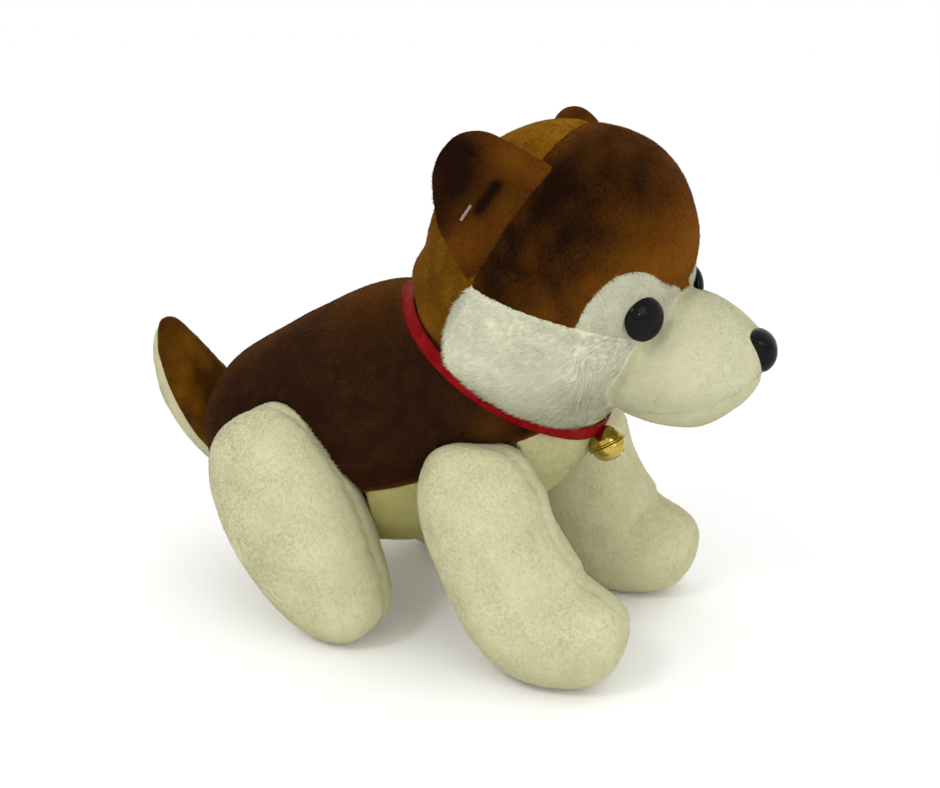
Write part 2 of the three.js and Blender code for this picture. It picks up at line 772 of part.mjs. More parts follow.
// Bell pieces are drawn about the bell's middle, with the loop on +Z, then turned to hang.
const bellUp = BELL_AXIS.map((value) => -value);
const hung = (geometry) => toSolid(aimed(geometry, BELL_CENTRE, bellUp));

function cupProfile(top) {
  const inside = [];
  const outside = [];
  for (let i = 0; i <= 4; i += 1) {
    const angle = (i * Math.PI) / 8;
    const inner = BELL_RADIUS - BELL_WALL;
    inside.unshift([inner * Math.cos(angle), GAP / 2 + (inner - GAP / 2) * Math.sin(angle)]);
    outside.push([BELL_RADIUS * Math.cos(angle), 0.9 + (BELL_RADIUS - 0.9) * Math.sin(angle)]);
  }
  inside[0][0] = 0;
  outside[4][0] = 0;
  const rim = [[BELL_RADIUS + BELL_RIM, GAP / 2], [BELL_RADIUS + BELL_RIM, 0.9]];
  const profile = [...inside, ...rim, ...outside];
  return top ? profile : profile.map(([radius, height]) => [radius, -height]).reverse();
}

function ring(radius, wire, sides) {
  const torus = new THREE.TorusGeometry(radius, wire, sides, 14);
  torus.rotateX(Math.PI / 2);
  torus.translate(0, 0, BELL_DROP);
  return torus;
}

const loop = hung(ring(LOOP_RADIUS, LOOP_WIRE, 6));
const loopRoom = hung(ring(LOOP_RADIUS, LOOP_WIRE + 2 * GAP, 6));
const upperCup = hung(turned(cupProfile(true), 14));
const slot = new THREE.BoxGeometry(9, 1.4, 12);
slot.translate(0, 0, -8);
const slotHole = (x) => {
  const hole = new THREE.CylinderGeometry(1.5, 1.5, 12, 8);
  hole.rotateX(Math.PI / 2);
  hole.translate(x, 0, -8);
  return hung(hole);
};
const lowerCup = hung(turned(cupProfile(false), 14))
  .subtract(joined([hung(slot), slotHole(-4), slotHole(4)]));

const bellRoom = ball(BELL_RADIUS + BELL_RIM, BELL_CENTRE);
addPiece('collar_ribbon', ribbon.subtract(loopRoom).subtract(bellRoom), RED_RIBBON);
addPiece('bell_upper_cup', upperCup.add(loop), GOLD_METAL);
addPiece('bell_lower_cup', lowerCup, GOLD_METAL);

const pelletDrop = BELL_RADIUS - BELL_WALL - PELLET_RADIUS - 2 * GAP;
const pellet = new THREE.SphereGeometry(PELLET_RADIUS, 12, 8);
pellet.translate(0, 0, -pelletDrop);
addPiece('bell_pellet', hung(pellet), STEEL);

export default group;
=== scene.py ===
"""A plush dog: sewn panels of pile fabric over stuffing, safety eyes, ribbon and bell.

Every skin is a smooth loft through the stations that the CAD solids are lofted through,
cut into its sewn panels along their seam lines, pinched at the seams and crowned between
them. Each panel carries a pile of short tapered tufts. Tables are in millimetres in the
drawing frame, where the dog faces +X; meshes are written in metres in the shared frame.
"""

import math
from dataclasses import dataclass

import bpy
import numpy as np
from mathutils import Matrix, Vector
from mathutils.bvhtree import BVHTree
from mathutils.kdtree import KDTree


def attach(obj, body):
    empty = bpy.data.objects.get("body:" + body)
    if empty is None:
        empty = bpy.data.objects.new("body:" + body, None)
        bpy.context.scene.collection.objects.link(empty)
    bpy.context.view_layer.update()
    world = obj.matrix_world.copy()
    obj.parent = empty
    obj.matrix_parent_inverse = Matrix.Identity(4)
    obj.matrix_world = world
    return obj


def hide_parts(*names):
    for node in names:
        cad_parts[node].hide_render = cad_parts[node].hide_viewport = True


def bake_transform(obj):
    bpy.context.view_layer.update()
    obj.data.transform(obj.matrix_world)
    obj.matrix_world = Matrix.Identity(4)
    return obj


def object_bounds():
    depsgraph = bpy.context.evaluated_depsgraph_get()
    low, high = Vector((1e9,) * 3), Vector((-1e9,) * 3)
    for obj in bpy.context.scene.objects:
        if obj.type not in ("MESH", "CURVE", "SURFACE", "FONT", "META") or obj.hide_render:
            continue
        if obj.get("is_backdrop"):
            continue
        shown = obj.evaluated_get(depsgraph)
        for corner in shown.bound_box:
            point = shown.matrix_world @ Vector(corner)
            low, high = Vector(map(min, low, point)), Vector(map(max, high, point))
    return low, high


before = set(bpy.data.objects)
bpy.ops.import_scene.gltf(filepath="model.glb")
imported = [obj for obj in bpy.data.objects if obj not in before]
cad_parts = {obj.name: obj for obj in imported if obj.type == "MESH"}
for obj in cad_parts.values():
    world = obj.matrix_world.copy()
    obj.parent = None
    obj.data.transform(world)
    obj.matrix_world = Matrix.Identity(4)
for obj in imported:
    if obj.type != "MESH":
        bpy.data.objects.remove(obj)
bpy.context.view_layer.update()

# ------------------------------------------------------------------ driving dimensions

DRAWING_SHIFT = np.array([16.4, 0.0, -2.6])  # from the drawing frame to the shared frame
FLOOR_Z = 2.6
LEFT = np.array([0.0, 1.0, 0.0])
SKIN = 1.6  # thickness of the sewn fabric without its pile
SKIN_CELL = 1.5  # size of a face on the sewn skins
PILE_SHARE = 1.0
SHADES = 7  # shades of tuft in one pile
SHADE_SCATTER = 0.05  # how far the tufts' shades scatter about the nap and its painted light
BACKING_CLOUD = 0.1  # how far the backing's colour drifts about the nap and its painted light

HEAD_CENTRE = np.array([40.0, 0.0, 155.0])
NECK_DOWN = -np.array([0.54, 0.0, 0.84]) / math.hypot(0.54, 0.84)
SOCKET = 59.7  # radius of the hollow in the torso that the head's lower end turns in
NECK_PLUG = 58.5  # radius of the head's lower end
NECK_RADIUS = 51.0
RIBBON_TOP, RIBBON_WIDTH = 39.0, 6.0

# Stations: x, y, z, half width, half size above or in front, half size below or behind.
TORSO = [
    (-123, 0, 66, 38, 38, 38),
    (-100, 0, 71, 46, 43.5, 46),
    (-62, 0, 79, 51, 51, 53),
    (-24, 0, 91, 52, 54, 56),
    (7, 0, 107, 49, 50, 54),
    (25, 0, 131, 52, 51, 53),
    (40, 0, 158, 52, 48, 52),
]
CRANIUM = [
    (-9, 0, 152, 50, 49, 46),
    (14, 0, 154, 53, 55, 54),
    (38, 0, 155, 54, 59, 56),
    (64, 0, 154, 53, 61, 55),
    (90, 0, 151, 50, 57, 50),
]
MUZZLE = [
    (52, 0, 124, 28, 26, 26),
    (76, 0, 125, 30, 27, 26.5),
    (96, 0, 126, 29, 27, 26),
    (112, 0, 128, 24, 21, 19.5),
    (122, 0, 130, 17, 15, 14),
]
FRONT_LEG = [
    (26, -42, 94.5, 20, 26, 26),
    (26, -46.5, 77, 23, 27.5, 27),
    (33, -47, 54, 24, 26, 24.5),
    (54, -47, 27.3, 25, 27.5, 28.4),
    (86.5, -46.5, 24, 24, 25, 24.5),
]
HIND_LEG = [
    (-81, -48, 93, 20, 28, 26),
    (-70, -51, 77, 23, 30, 28.5),
    (-56, -52, 54, 24, 31, 30),
    (-41.5, -52, 30.4, 24, 29.5, 28),
    (-22, -52, 8, 23, 27, 26),
]
TAIL = [
    (-106, 0, 50, 16, 17, 17),
    (-125, 0, 66, 17, 17, 18),
    (-141, 0, 84, 16, 15, 16),
    (-151, 0, 102, 12, 11, 12),
    (-155, 0, 115, 8, 7, 8),
]
LEGS = {"front_leg": (FRONT_LEG, 0.5), "hind_leg": (HIND_LEG, 0.55)}  # stations, roundness
LEG_SEAMS_Y = {"front_leg": -47.0, "hind_leg": -51.5}
LEG_PRESS = 26  # the deepest that a leg presses into the torso
RIBBON_PINCH, BELL_ROOM = 1.6, 1.8  # how far the torso is drawn in under them
CHEEK_FULLNESS, CHEEK_DROOP = 4.0, 3.4

# Seam lines on the side view, as x, z.
SADDLE_SEAM = [(-150, 50), (-128, 48), (-100, 50), (-60, 57), (-20, 67), (5, 76), (28, 89), (46, 97)]
SADDLE_FRONT = [(46, 97), (46, 104), (50, 125)]
CHEEK_CORNER = (24, 158)
BROW_CORNER = (64, 145)
CROWN_BACK_SEAM = [CHEEK_CORNER, (32, 179), (41, 200), (48, 216), (51, 240)]
CROWN_CHEEK_SEAM = [CHEEK_CORNER, (44, 151), BROW_CORNER]
PATCH_TOP_SEAM = [BROW_CORNER, (69, 155.5), (77.5, 164.5), (86, 164), (92, 153)]
PATCH_LOW_SEAM = [BROW_CORNER, (74, 141), (91, 134)]
CHEEK_BACK_SEAM = [CHEEK_CORNER, (15, 148), (11, 136), (8, 122), (4, 80)]
CHIN_SEAM = [(50, 108), (80, 106), (100, 109), (114, 117), (126, 124)]
TAIL_SEAM = [(-100, 20), (-119, 50), (-134, 70), (-146, 89), (-156, 108), (-162, 126)]

# The right ear in its own plane: along its base, then away from the head.
EAR_OUTLINE = [(0, -7), (5, 10), (12, 22), (22, 31), (32, 35)]
EAR_OUTLINE += [(42, 33), (48, 25), (50, 12), (49, -7), (26, -10)]
EAR_LOW = np.array([23.0, -50.0, 160.0])
EAR_HIGH = np.array([46.0, -36.0, 199.0])
EAR_OUTWARD = (-0.66, -0.48, 0.58)
EAR_CUP, EAR_BASE_RISE, EAR_CUP_AT = 6.0, 3.0, 18.0
EAR_PUFF, EAR_EDGE, EAR_GAP = 2.4, 0.35, 0.12  # a layer's crown, rim and distance from the middle
EAR_RIM_POINTS, EAR_RINGS = 128, 26
EAR_FOLD_AT, EAR_FOLD_DEPTH = 11.5, 2.6
TAG_AT = (20.0, 15.4)

EYE = np.array([83.5, -30.0, 147.4])
EYE_OUT = (0.8, -0.58, 0.02)
EYE_RADIUS, EYE_HEIGHT, EYE_SEAT = 8.4, 5.0, 0.5
POST_RADIUS = 2.2
NOSE = np.array([119.8, 0.0, 132.0])
NOSE_OUT = (0.97, 0.0, 0.25)
NOSE_OUTLINE = [(-7.2, 6), (-3.6, 8), (0, 8.4), (3.6, 8), (7.2, 6)]
NOSE_OUTLINE += [(7, 1), (4, -5.5), (0, -8.6), (-4, -5.5), (-7, 1)]

BELL_HANGER = np.array([56.4, 0.0, 94.6])
BELL_DOWN = np.array([0.5, 0.0, -0.87])
BELL_CENTRE = BELL_HANGER + BELL_DOWN * 9.8
BELL_RADIUS, BELL_WALL, BELL_RIM = 7.2, 0.8, 0.9
LOOP_RADIUS, LOOP_WIRE = 2.6, 0.5


# ------------------------------------------------------------------ camera, light, floor


def look_from(azimuth, elevation, distance, target, lens):
    """The scene's camera, at a viewing angle about a target."""
    a, e = math.radians(azimuth), math.radians(elevation)
    back = Vector((math.sin(a) * math.cos(e), -math.cos(a) * math.cos(e), math.sin(e)))
    camera = bpy.data.objects.new("camera", bpy.data.cameras.new("camera"))
    camera.location = Vector(target) + back * distance
    camera.rotation_mode = "QUATERNION"
    camera.rotation_quaternion = (-back).to_track_quat("-Z", "Y")
    camera.data.lens = lens
    camera.data.sensor_width = 36
    camera.data.clip_start = 0.01
    bpy.context.scene.collection.objects.link(camera)
    bpy.context.scene.camera = camera


def soft_light(name, place, size, watts, colour):
    """A large square lamp that faces the dog."""
    lamp = bpy.data.lights.new(name, "AREA")
    lamp.size = size
    lamp.energy = watts
    lamp.color = colour
    holder = bpy.data.objects.new(name, lamp)
    holder.location = place
    aim = Vector((0, 0, 0.1)) - Vector(place)
    holder.rotation_mode = "QUATERNION"
    holder.rotation_quaternion = aim.to_track_quat("-Z", "Y")
    bpy.context.scene.collection.objects.link(holder)


look_from(azimuth=25, elevation=17.5, distance=0.575, target=(0.0164, 0, 0.0962), lens=52.4)


# ------------------------------------------------------------------ numbers to shapes


def smooth_path(points, at):
    """Points on the centripetal Catmull-Rom curve through these, at shares of its spans."""
    points = np.asarray(points, float)
    ends = [2 * points[0] - points[1], 2 * points[-1] - points[-2]]
    around = np.vstack([ends[0], points, ends[1]])
    spans = len(points) - 1
    scaled = np.clip(np.asarray(at, float), 0, 1) * spans
    span = np.minimum(scaled.astype(int), spans - 1)
    t = (scaled - span)[:, None]
    p0, p1, p2, p3 = (around[span + k] for k in range(4))
    d0, d1, d2 = (
        np.sqrt(np.linalg.norm(b - a, axis=1))[:, None] for a, b in ((p0, p1), (p1, p2), (p2, p3))
    )
    d1 = np.where(d1 < 1e-4, 1, d1)
    d0 = np.where(d0 < 1e-4, d1, d0)
    d2 = np.where(d2 < 1e-4, d1, d2)
    slope1 = ((p1 - p0) / d0 - (p2 - p0) / (d0 + d1) + (p2 - p1) / d1) * d1
    slope2 = ((p2 - p1) / d1 - (p3 - p1) / (d1 + d2) + (p3 - p2) / d2) * d1
    square = -3 * p1 + 3 * p2 - 2 * slope1 - slope2
    cube = 2 * p1 - 2 * p2 + slope1 + slope2
    return p1 + slope1 * t + square * t**2 + cube * t**3


def unit(vectors):
    """The same directions at length 1."""
    vectors = np.asarray(vectors, float)
    return vectors / np.maximum(np.linalg.norm(vectors, axis=-1, keepdims=True), 1e-12)


def ease(value, low, high):
    """0 below low, 1 above high and smooth between them."""
    t = np.clip((value - low) / (high - low), 0, 1)
    return t * t * (3 - 2 * t)


def ripple(points, size, seed, waves=10):
    """A smooth random field, about -1 to 1, with features about size across."""
    random = np.random.default_rng(seed)
    directions = unit(random.normal(size=(waves, 3)))
    directions *= (2 * math.pi / size) * random.uniform(0.5, 1.2, (waves, 1))
    phases = random.uniform(0, 2 * math.pi, waves)
    return np.sin(points @ directions.T + phases).sum(1) / math.sqrt(waves)


def grid_faces(rows, columns):
    """Quads of a grid whose columns wrap round."""
    faces = []
    for r in range(rows - 1):
        for c in range(columns):
            n = (c + 1) % columns
            here, above = r * columns, (r + 1) * columns
            faces.append((here + c, here + n, above + n, above + c))
    return faces


def closed_rows(rows, first_tip, last_tip):
    """A closed shape from rows of points and a point at either end."""
    count, around = rows.shape[:2]
    faces = grid_faces(count, around)
    first, last = count * around, count * around + 1
    for c in range(around):
        n = (c + 1) % around
        faces.append((first, n, c))
        faces.append((last, (count - 1) * around + c, (count - 1) * around + n))
    return np.vstack([rows.reshape(-1, 3), first_tip, last_tip]), faces


def loft(stations, roundness, around=96, along=72):
    """A closed body through its stations, its ends closed like a sphere's."""
    stations = np.asarray(stations, float)
    angle = np.linspace(0, math.pi, along + 1)[1:-1]
    at, ring = (1 - np.cos(angle)) / 2, np.sin(angle) ** roundness
    step = 1e-4
    middle = smooth_path(stations[:, :3], at)
    ahead = unit(smooth_path(stations[:, :3], at + step) - smooth_path(stations[:, :3], at - step))
    girth = smooth_path(stations[:, 3:], at)
    up = unit(np.cross(ahead, (0.0, 1.0, 0.0)))
    side = unit(np.cross(up, ahead))
    turn = np.linspace(0, 2 * math.pi, around, endpoint=False)
    across = np.cos(turn)[None, :] * ring[:, None] * girth[:, :1]
    height = np.sin(turn)[None, :] * ring[:, None]
    height = height * np.where(height > 0, girth[:, 1:2], girth[:, 2:3])
    rows = middle[:, None] + side[:, None] * across[..., None] + up[:, None] * height[..., None]
    tips = smooth_path(stations[:, :3], np.array([0.0, 1.0]))
    return closed_rows(rows, tips[:1], tips[1:])


def axes_about(axis):
    """Two directions square to an axis and to each other."""
    axis = unit(axis)
    x = unit(np.cross(axis, (0.0, 1.0, 0.0)))
    return x, np.cross(axis, x), axis


def revolve(profile, around, origin, axis):
    """A closed turned shape. Profile points are radius, height along the axis."""
    profile = np.asarray(profile, float)
    x, y, axis = axes_about(axis)
    turn = np.linspace(0, 2 * math.pi, around, endpoint=False)
    circle = np.cos(turn)[:, None] * x + np.sin(turn)[:, None] * y
    rows = np.asarray(origin) + profile[:, 0, None, None] * circle + profile[:, 1, None, None] * axis
    ends = np.asarray(origin) + profile[[0, -1], 1, None] * axis
    return closed_rows(rows, ends[:1], ends[1:])


def ring_tube(rows):
    """A closed loop of tube from rows of section points."""
    count, around = rows.shape[:2]
    faces = grid_faces(count, around)
    for c in range(around):
        n = (c + 1) % around
        faces.append(((count - 1) * around + c, (count - 1) * around + n, n, c))
    return rows.reshape(-1, 3), faces


def closed_curve(points, count):
    """Evenly shared points on a smooth closed curve."""
    points = np.asarray(points, float)
    at = np.linspace(0, len(points), count, endpoint=False)
    k = at.astype(int)
    t = (at - k)[:, None]
    p0, p1, p2, p3 = (points[(k + d) % len(points)] for d in (-1, 0, 1, 2))
    square, cube = p0 - 2.5 * p1 + 2 * p2 - p3 / 2, 1.5 * (p1 - p2) + (p3 - p0) / 2
    return p1 + (p2 - p0) / 2 * t + square * t**2 + cube * t**3


def joined_shapes(*shapes):
    """Several closed shapes as one."""
    points, faces, base = [], [], 0
    for p, f in shapes:
        points.append(p)
        faces += [tuple(i + base for i in face) for face in f]
        base += len(p)
    return np.vstack(points), faces


def triangles_of(faces):
    """Triangles and quads as triangles only."""
    halves = ([f] if len(f) == 3 else [f[:3], (f[0], f[2], f[3])] for f in faces)
    return np.array([t for half in halves for t in half])


def placed(points):
    """Drawing-frame points in metres in the shared frame."""
    return (np.asarray(points) + DRAWING_SHIFT) * 0.001


def mesh_of(name, points, faces):
    """A Blender mesh in the shared frame from drawing-frame points."""
    mesh = bpy.data.meshes.new(name)
    mesh.from_pydata(placed(points).tolist(), [], [tuple(f) for f in faces])
    mesh.update()
    return mesh


def arrays_of(mesh):
    """Drawing-frame points and the triangles of a Blender mesh."""
    mesh.calc_loop_triangles()
    points = np.empty(len(mesh.vertices) * 3, np.float32)
    mesh.vertices.foreach_get("co", points)
    triangles = np.empty(len(mesh.loop_triangles) * 3, np.int32)
    mesh.loop_triangles.foreach_get("vertices", triangles)
    return points.reshape(-1, 3) * 1000.0 - DRAWING_SHIFT, triangles.reshape(-1, 3)


def fused(parts, cell):
    """One closed skin of even faces round several closed shapes."""
    holder = bpy.data.objects.new("fused", mesh_of("fused", *joined_shapes(*parts)))
    bpy.context.scene.collection.objects.link(holder)
    remesh = holder.modifiers.new("remesh", "REMESH")
    remesh.mode = "VOXEL"
    remesh.voxel_size = cell * 0.001
    bpy.context.view_layer.update()
    shown = holder.evaluated_get(bpy.context.evaluated_depsgraph_get())
    result = arrays_of(shown.to_mesh())
    shown.to_mesh_clear()
    bpy.data.objects.remove(holder)
    return result


def normals_of(points, triangles):
    """Outward normal at each point."""
    a, b, c = (points[triangles[:, k]] for k in range(3))
    across = np.cross(b - a, c - a)
    normals = np.zeros_like(points)
    for k in range(3):
        np.add.at(normals, triangles[:, k], across)
    return unit(normals)


def facing_out(points, triangles):
    """The triangles of a closed shape, turned so that their normals point out of it."""
    a, b, c = (points[triangles[:, k]] - points.mean(0) for k in range(3))
    volume = (a * np.cross(b, c)).sum()
    return triangles if volume > 0 else triangles[:, ::-1]


def edges_of(triangles):
    """The directed edges of triangles, as pairs of point numbers."""
    return np.vstack([triangles[:, [0, 1]], triangles[:, [1, 2]], triangles[:, [2, 0]]])


def smoothed(points, triangles, weight, times):
    """Points drawn towards the middle of their neighbours, by a weight at each."""
    edges = edges_of(triangles)
    edges = np.vstack([edges, edges[:, ::-1]])
    count = np.bincount(edges[:, 0], minlength=len(points))[:, None]
    for _ in range(times):
        total = np.zeros_like(points)
        np.add.at(total, edges[:, 0], points[edges[:, 1]])
        points = points + weight[:, None] * 0.6 * (total / count - points)
    return points


def outside_of(points, form):
    """Distance of each point outside a closed form, negative inside it."""
    tree = BVHTree.FromPolygons(form[0].tolist(), [tuple(int(i) for i in f) for f in form[1]])
    found = np.empty(len(points))
    for i, p in enumerate(points):
        near, normal, _, distance = tree.find_nearest(Vector(p))
        found[i] = distance if (Vector(p) - near).dot(normal) > 0 else -distance
    return found


def smooth_line(points, per_span=8):
    """A seam line drawn as a uniform Catmull-Rom curve."""
    points = np.asarray(points, float)
    if len(points) < 3:
        return points
    around = np.vstack([2 * points[0] - points[1], points, 2 * points[-1] - points[-2]])
    line = []
    for s in range(len(points) - 1):
        p0, p1, p2, p3 = around[s : s + 4]
        for t in np.linspace(0, 1, per_span, endpoint=False):
            slope, square = (p2 - p0) / 2, p0 - 2.5 * p1 + 2 * p2 - p3 / 2
            line.append(p1 + slope * t + square * t**2 + (1.5 * (p1 - p2) + (p3 - p0) / 2) * t**3)
    return np.vstack([line, points[-1:]])


def region(*parts):
    """An outline on the side view, from seam lines and corner points in order."""
    return np.vstack([smooth_line(p) for p in parts])


def within(points, outline):
    """Distance inside an outline on the side view, negative outside it."""
    flat = points[:, [0, 2]]
    start, end = outline, np.roll(outline, -1, axis=0)
    keep = np.linalg.norm(end - start, axis=1) > 1e-6
    start, end = start[keep], end[keep]
    along = end - start
    share = ((flat[:, None] - start) * along).sum(2) / (along**2).sum(1)
    nearest = start + np.clip(share, 0, 1)[..., None] * along
    distance = np.linalg.norm(flat[:, None] - nearest, axis=2).min(1)
    x, z = flat[:, 0, None], flat[:, 1, None]
    crosses = (start[:, 1] > z) != (end[:, 1] > z)
    rise = np.where(np.abs(along[:, 1]) < 1e-9, 1e-9, along[:, 1])
    crosses &= x < start[:, 0] + (z - start[:, 1]) * along[:, 0] / rise
    return np.where(crosses.sum(1) % 2 == 1, distance, -distance)


def cut(points, triangles, value):
    """The mesh with new edges where value crosses zero.

    Returns its points, its triangles, the value at each point, and for each triangle the
    one that it came from.
    """
    value = np.where(np.abs(value) < 0.04, 0.0, value)
    sign = np.sign(value)[triangles]
    crossing = (sign.min(1) < 0) & (sign.max(1) > 0)
    points, values = list(points), list(value)
    made, added, parents = {}, [], []

    def between(a, b):
        """The point where the edge from a to b crosses zero."""
        key = (min(a, b), max(a, b))
        if key not in made:
            t = values[a] / (values[a] - values[b])
            made[key] = len(points)
            points.append(points[a] * (1 - t) + points[b] * t)
            values.append(0.0)
        return made[key]

    for parent in np.flatnonzero(crossing):
        a, b, c = (int(i) for i in triangles[parent])
        while not (values[a] == 0 or values[a] * values[b] < 0 and values[a] * values[c] < 0):
            a, b, c = b, c, a
        if values[a] == 0:
            m = between(b, c)
            added += [(a, b, m), (a, m, c)]
            parents += [parent] * 2
        else:
            m, n = between(a, b), between(a, c)
            added += [(a, m, n), (m, b, c), (m, c, n)]
            parents += [parent] * 3
    parents = np.concatenate([np.flatnonzero(~crossing), np.array(parents, int)])
    triangles = np.vstack([triangles[~crossing], np.array(added, int).reshape(-1, 3)])
    return np.array(points), triangles, np.array(values), parents


def relabelled(skin, value, where, inside):
    """A labelled skin cut along value zero, with its chosen label changed inside."""
    points, triangles, labels = skin
    points, triangles, value, parents = cut(points, triangles, value)
    labels = labels[parents]
    labels[(labels == where) & (value[triangles].sum(1) > 0)] = inside
    return points, triangles, labels


def tree_of(points):
    """A search tree of points."""
    tree = KDTree(len(points))
    for i, p in enumerate(points):
        tree.insert(p, i)
    tree.balance()
    return tree


def near_points(points, targets):
    """Distance from each point to the nearest target."""
    tree = tree_of(targets)
    return np.array([tree.find(p)[2] for p in points])


# ------------------------------------------------------------------ materials


def srgb(r, g, b):
    """A colour from 0 to 255 as scene-linear numbers."""
    shares = (c / 255 for c in (r, g, b))
    return tuple(c / 12.92 if c <= 0.04045 else ((c + 0.055) / 1.055) ** 2.4 for c in shares)


def mixed(a, b, share):
    """A colour part of the way from a to b."""
    return tuple(x + (y - x) * share for x, y in zip(a, b))


@dataclass(frozen=True)
class Fabric:
    """A pile fabric and its tufts."""

    slot: str
    dark: tuple  # colour of pile lying flat, and of painted shade
    light: tuple  # colour of pile brushed up, and of painted sheen and highlights
    sheen: float
    length: float  # of a tuft, in mm
    density: float  # tufts in a square mm
    width: float  # of a tuft, in mm
    tilt: float  # away from upright, in degrees
    clump: float  # how far tips gather, from 0 to 1


SADDLE = Fabric("dark_brown_pile", srgb(37, 19, 9), srgb(116, 70, 16), 0.10, 1.2, 2.8, 0.31, 73, 0.06)
CROWN = Fabric("crown_brown_pile", srgb(26, 11, 4), srgb(108, 62, 8), 0.18, 1.4, 3.0, 0.29, 71, 0.12)
GOLDEN = Fabric("golden_brown_pile", srgb(62, 32, 4), srgb(134, 90, 12), 0.15, 1.4, 2.8, 0.29, 70, 0.12)
CREAM = Fabric("cream_pile", srgb(190, 186, 146), srgb(204, 201, 163), 0.14, 1.3, 3.2, 0.38, 77, 0.04)
# The belly's cream is yellower, and darker by painted shade under the body.
BELLY = Fabric("cream_pile", srgb(163, 157, 94), srgb(186, 182, 140), 0.08, 1.3, 2.8, 0.34, 72, 0.06)
SHORT_CREAM = Fabric("cream_pile", srgb(180, 178, 138), srgb(196, 195, 164), 0.10, 0.9, 3.4, 0.32, 75, 0.03)
# The white pile's dark end is the painted shade on the lower cheek.
WHITE = Fabric("white_pile", srgb(166, 166, 140), srgb(224, 224, 196), 0.08, 2.8, 2.8, 0.34, 64, 0.18)
EAR = Fabric("crown_brown_pile", srgb(32, 14, 6), srgb(100, 56, 12), 0.16, 1.1, 3.6, 0.27, 70, 0.1)
SHORT_WHITE = Fabric("white_pile", srgb(164, 163, 139), srgb(193, 193, 168), 0.08, 1.0, 3.2, 0.30, 73, 0.06)


class Look:
    """A node material in the making."""

    def __init__(self, name):
        self.material = bpy.data.materials.new(name)
        self.material.use_nodes = True
        self.nodes = self.material.node_tree.nodes
        self.link = self.material.node_tree.links.new
        self.shader = self.nodes["Principled BSDF"]

    def set(self, **values):
        """Sets the shader's own sockets, with _ for a space in their names."""
        for key, value in values.items():
            self.shader.inputs[key.replace("_", " ")].default_value = value

    def noise(self, scale, detail, roughness):
        """The output of a noise over the object."""
        place = self.nodes.new("ShaderNodeTexCoord")
        noise = self.nodes.new("ShaderNodeTexNoise")
        self.link(place.outputs["Object"], noise.inputs["Vector"])
        for key, value in (("Scale", scale), ("Detail", detail), ("Roughness", roughness)):
            noise.inputs[key].default_value = value
        return noise.outputs["Fac"]

    def coloured(self, source, low, high, start=0.0, end=1.0):
        """Colours the surface from low to high as an output goes from start to end."""
        ramp = self.nodes.new("ShaderNodeValToRGB")
        ends = zip(ramp.color_ramp.elements, (start, end), (low, high))
        for element, position, colour in ends:
            element.position = position
            element.color = (*colour, 1)
        self.link(source, ramp.inputs["Fac"])
        self.link(ramp.outputs["Color"], self.shader.inputs["Base Color"])

    def roughened(self, source, low, high):
        """Makes the roughness follow an output."""
        rough = self.nodes.new("ShaderNodeMapRange")
        rough.inputs["To Min"].default_value = low
        rough.inputs["To Max"].default_value = high
        self.link(source, rough.inputs["Value"])
        self.link(rough.outputs["Result"], self.shader.inputs["Roughness"])

    def bumped(self, source, strength, distance):
        """Raises the surface by an output."""
        bump = self.nodes.new("ShaderNodeBump")
        bump.inputs["Strength"].default_value = strength
        bump.inputs["Distance"].default_value = distance
        self.link(source, bump.inputs["Height"])
        self.link(bump.outputs["Normal"], self.shader.inputs["Normal"])

    def napped(self, fabric):
        """Gives the sheen of brushed pile, brightest where it is seen edge-on."""
        strongest = max(fabric.light)
        self.set(Specular_IOR_Level=0.03, Sheen_Weight=fabric.sheen, Sheen_Roughness=0.35)
        self.set(Sheen_Tint=(*(c / strongest for c in fabric.light), 1))


def darker(colour, share):
    """A colour with a share of black."""
    return mixed(colour, (0, 0, 0), share)


def pile_backing(name, fabric):
    """The knitted face under the pile: nap colour with painted light and shade, fine grain and brushed
    roughness.
    """
    look = Look(name)
    grain, cloud = look.noise(1400.0, 3.0, 0.6), look.noise(160.0, 4.0, 0.55)
    nap_and_light = look.nodes.new("ShaderNodeAttribute")
    nap_and_light.attribute_name = "nap_and_light"
    soft = look.nodes.new("ShaderNodeMath")
    soft.operation = "MULTIPLY_ADD"
    look.link(cloud, soft.inputs[0])
    soft.inputs[1].default_value = 2 * BACKING_CLOUD
    soft.inputs[2].default_value = -BACKING_CLOUD
    total = look.nodes.new("ShaderNodeMath")
    total.operation = "ADD"
    look.link(nap_and_light.outputs["Fac"], total.inputs[0])
    look.link(soft.outputs[0], total.inputs[1])
    look.coloured(total.outputs[0], darker(fabric.dark, 0.12), fabric.light)
    look.roughened(grain, 0.72, 0.95)
    look.bumped(grain, 0.25, 0.0003)
    look.napped(fabric)
    return look.material


def tuft_materials(name, fabric):
    """Shades of tuft, from pile lying flat to pile brushed up; on some panels they also carry painted shade
    and sheen.
    """
    made = []
    for k in range(SHADES):
        look = Look(f"{name}_{k}")
        look.set(Base_Color=(*mixed(fabric.dark, fabric.light, k / (SHADES - 1)), 1), Roughness=0.85)
        look.napped(fabric)
        made.append(look.material)
    return made


# ------------------------------------------------------------------ panels and pile


def add_object(name, mesh, *materials):
    """A shown object with its materials."""
    made = bpy.data.objects.new(name, mesh)
    bpy.context.scene.collection.objects.link(made)
    for material in materials:
        mesh.materials.append(material)
    return made


def shaded_smooth(mesh, sharp=50):
    """Smooth shading that breaks at edges sharper than an angle."""
    mesh.polygons.foreach_set("use_smooth", np.ones(len(mesh.polygons), bool))
    mesh.set_sharp_from_angle(angle=math.radians(sharp))


def part_of(points, triangles, *extras):
    """Only the points that the triangles use, with their extras."""
    used, index = np.unique(triangles, return_inverse=True)
    return (points[used], index.reshape(-1, 3), *(e[used] for e in extras))


def rim_edges(triangles):
    """Directed edges that belong to one triangle only."""
    edges = edges_of(triangles)
    keys = np.sort(edges, axis=1)
    _, index, count = np.unique(keys, axis=0, return_index=True, return_counts=True)
    return edges[index[count == 1]]


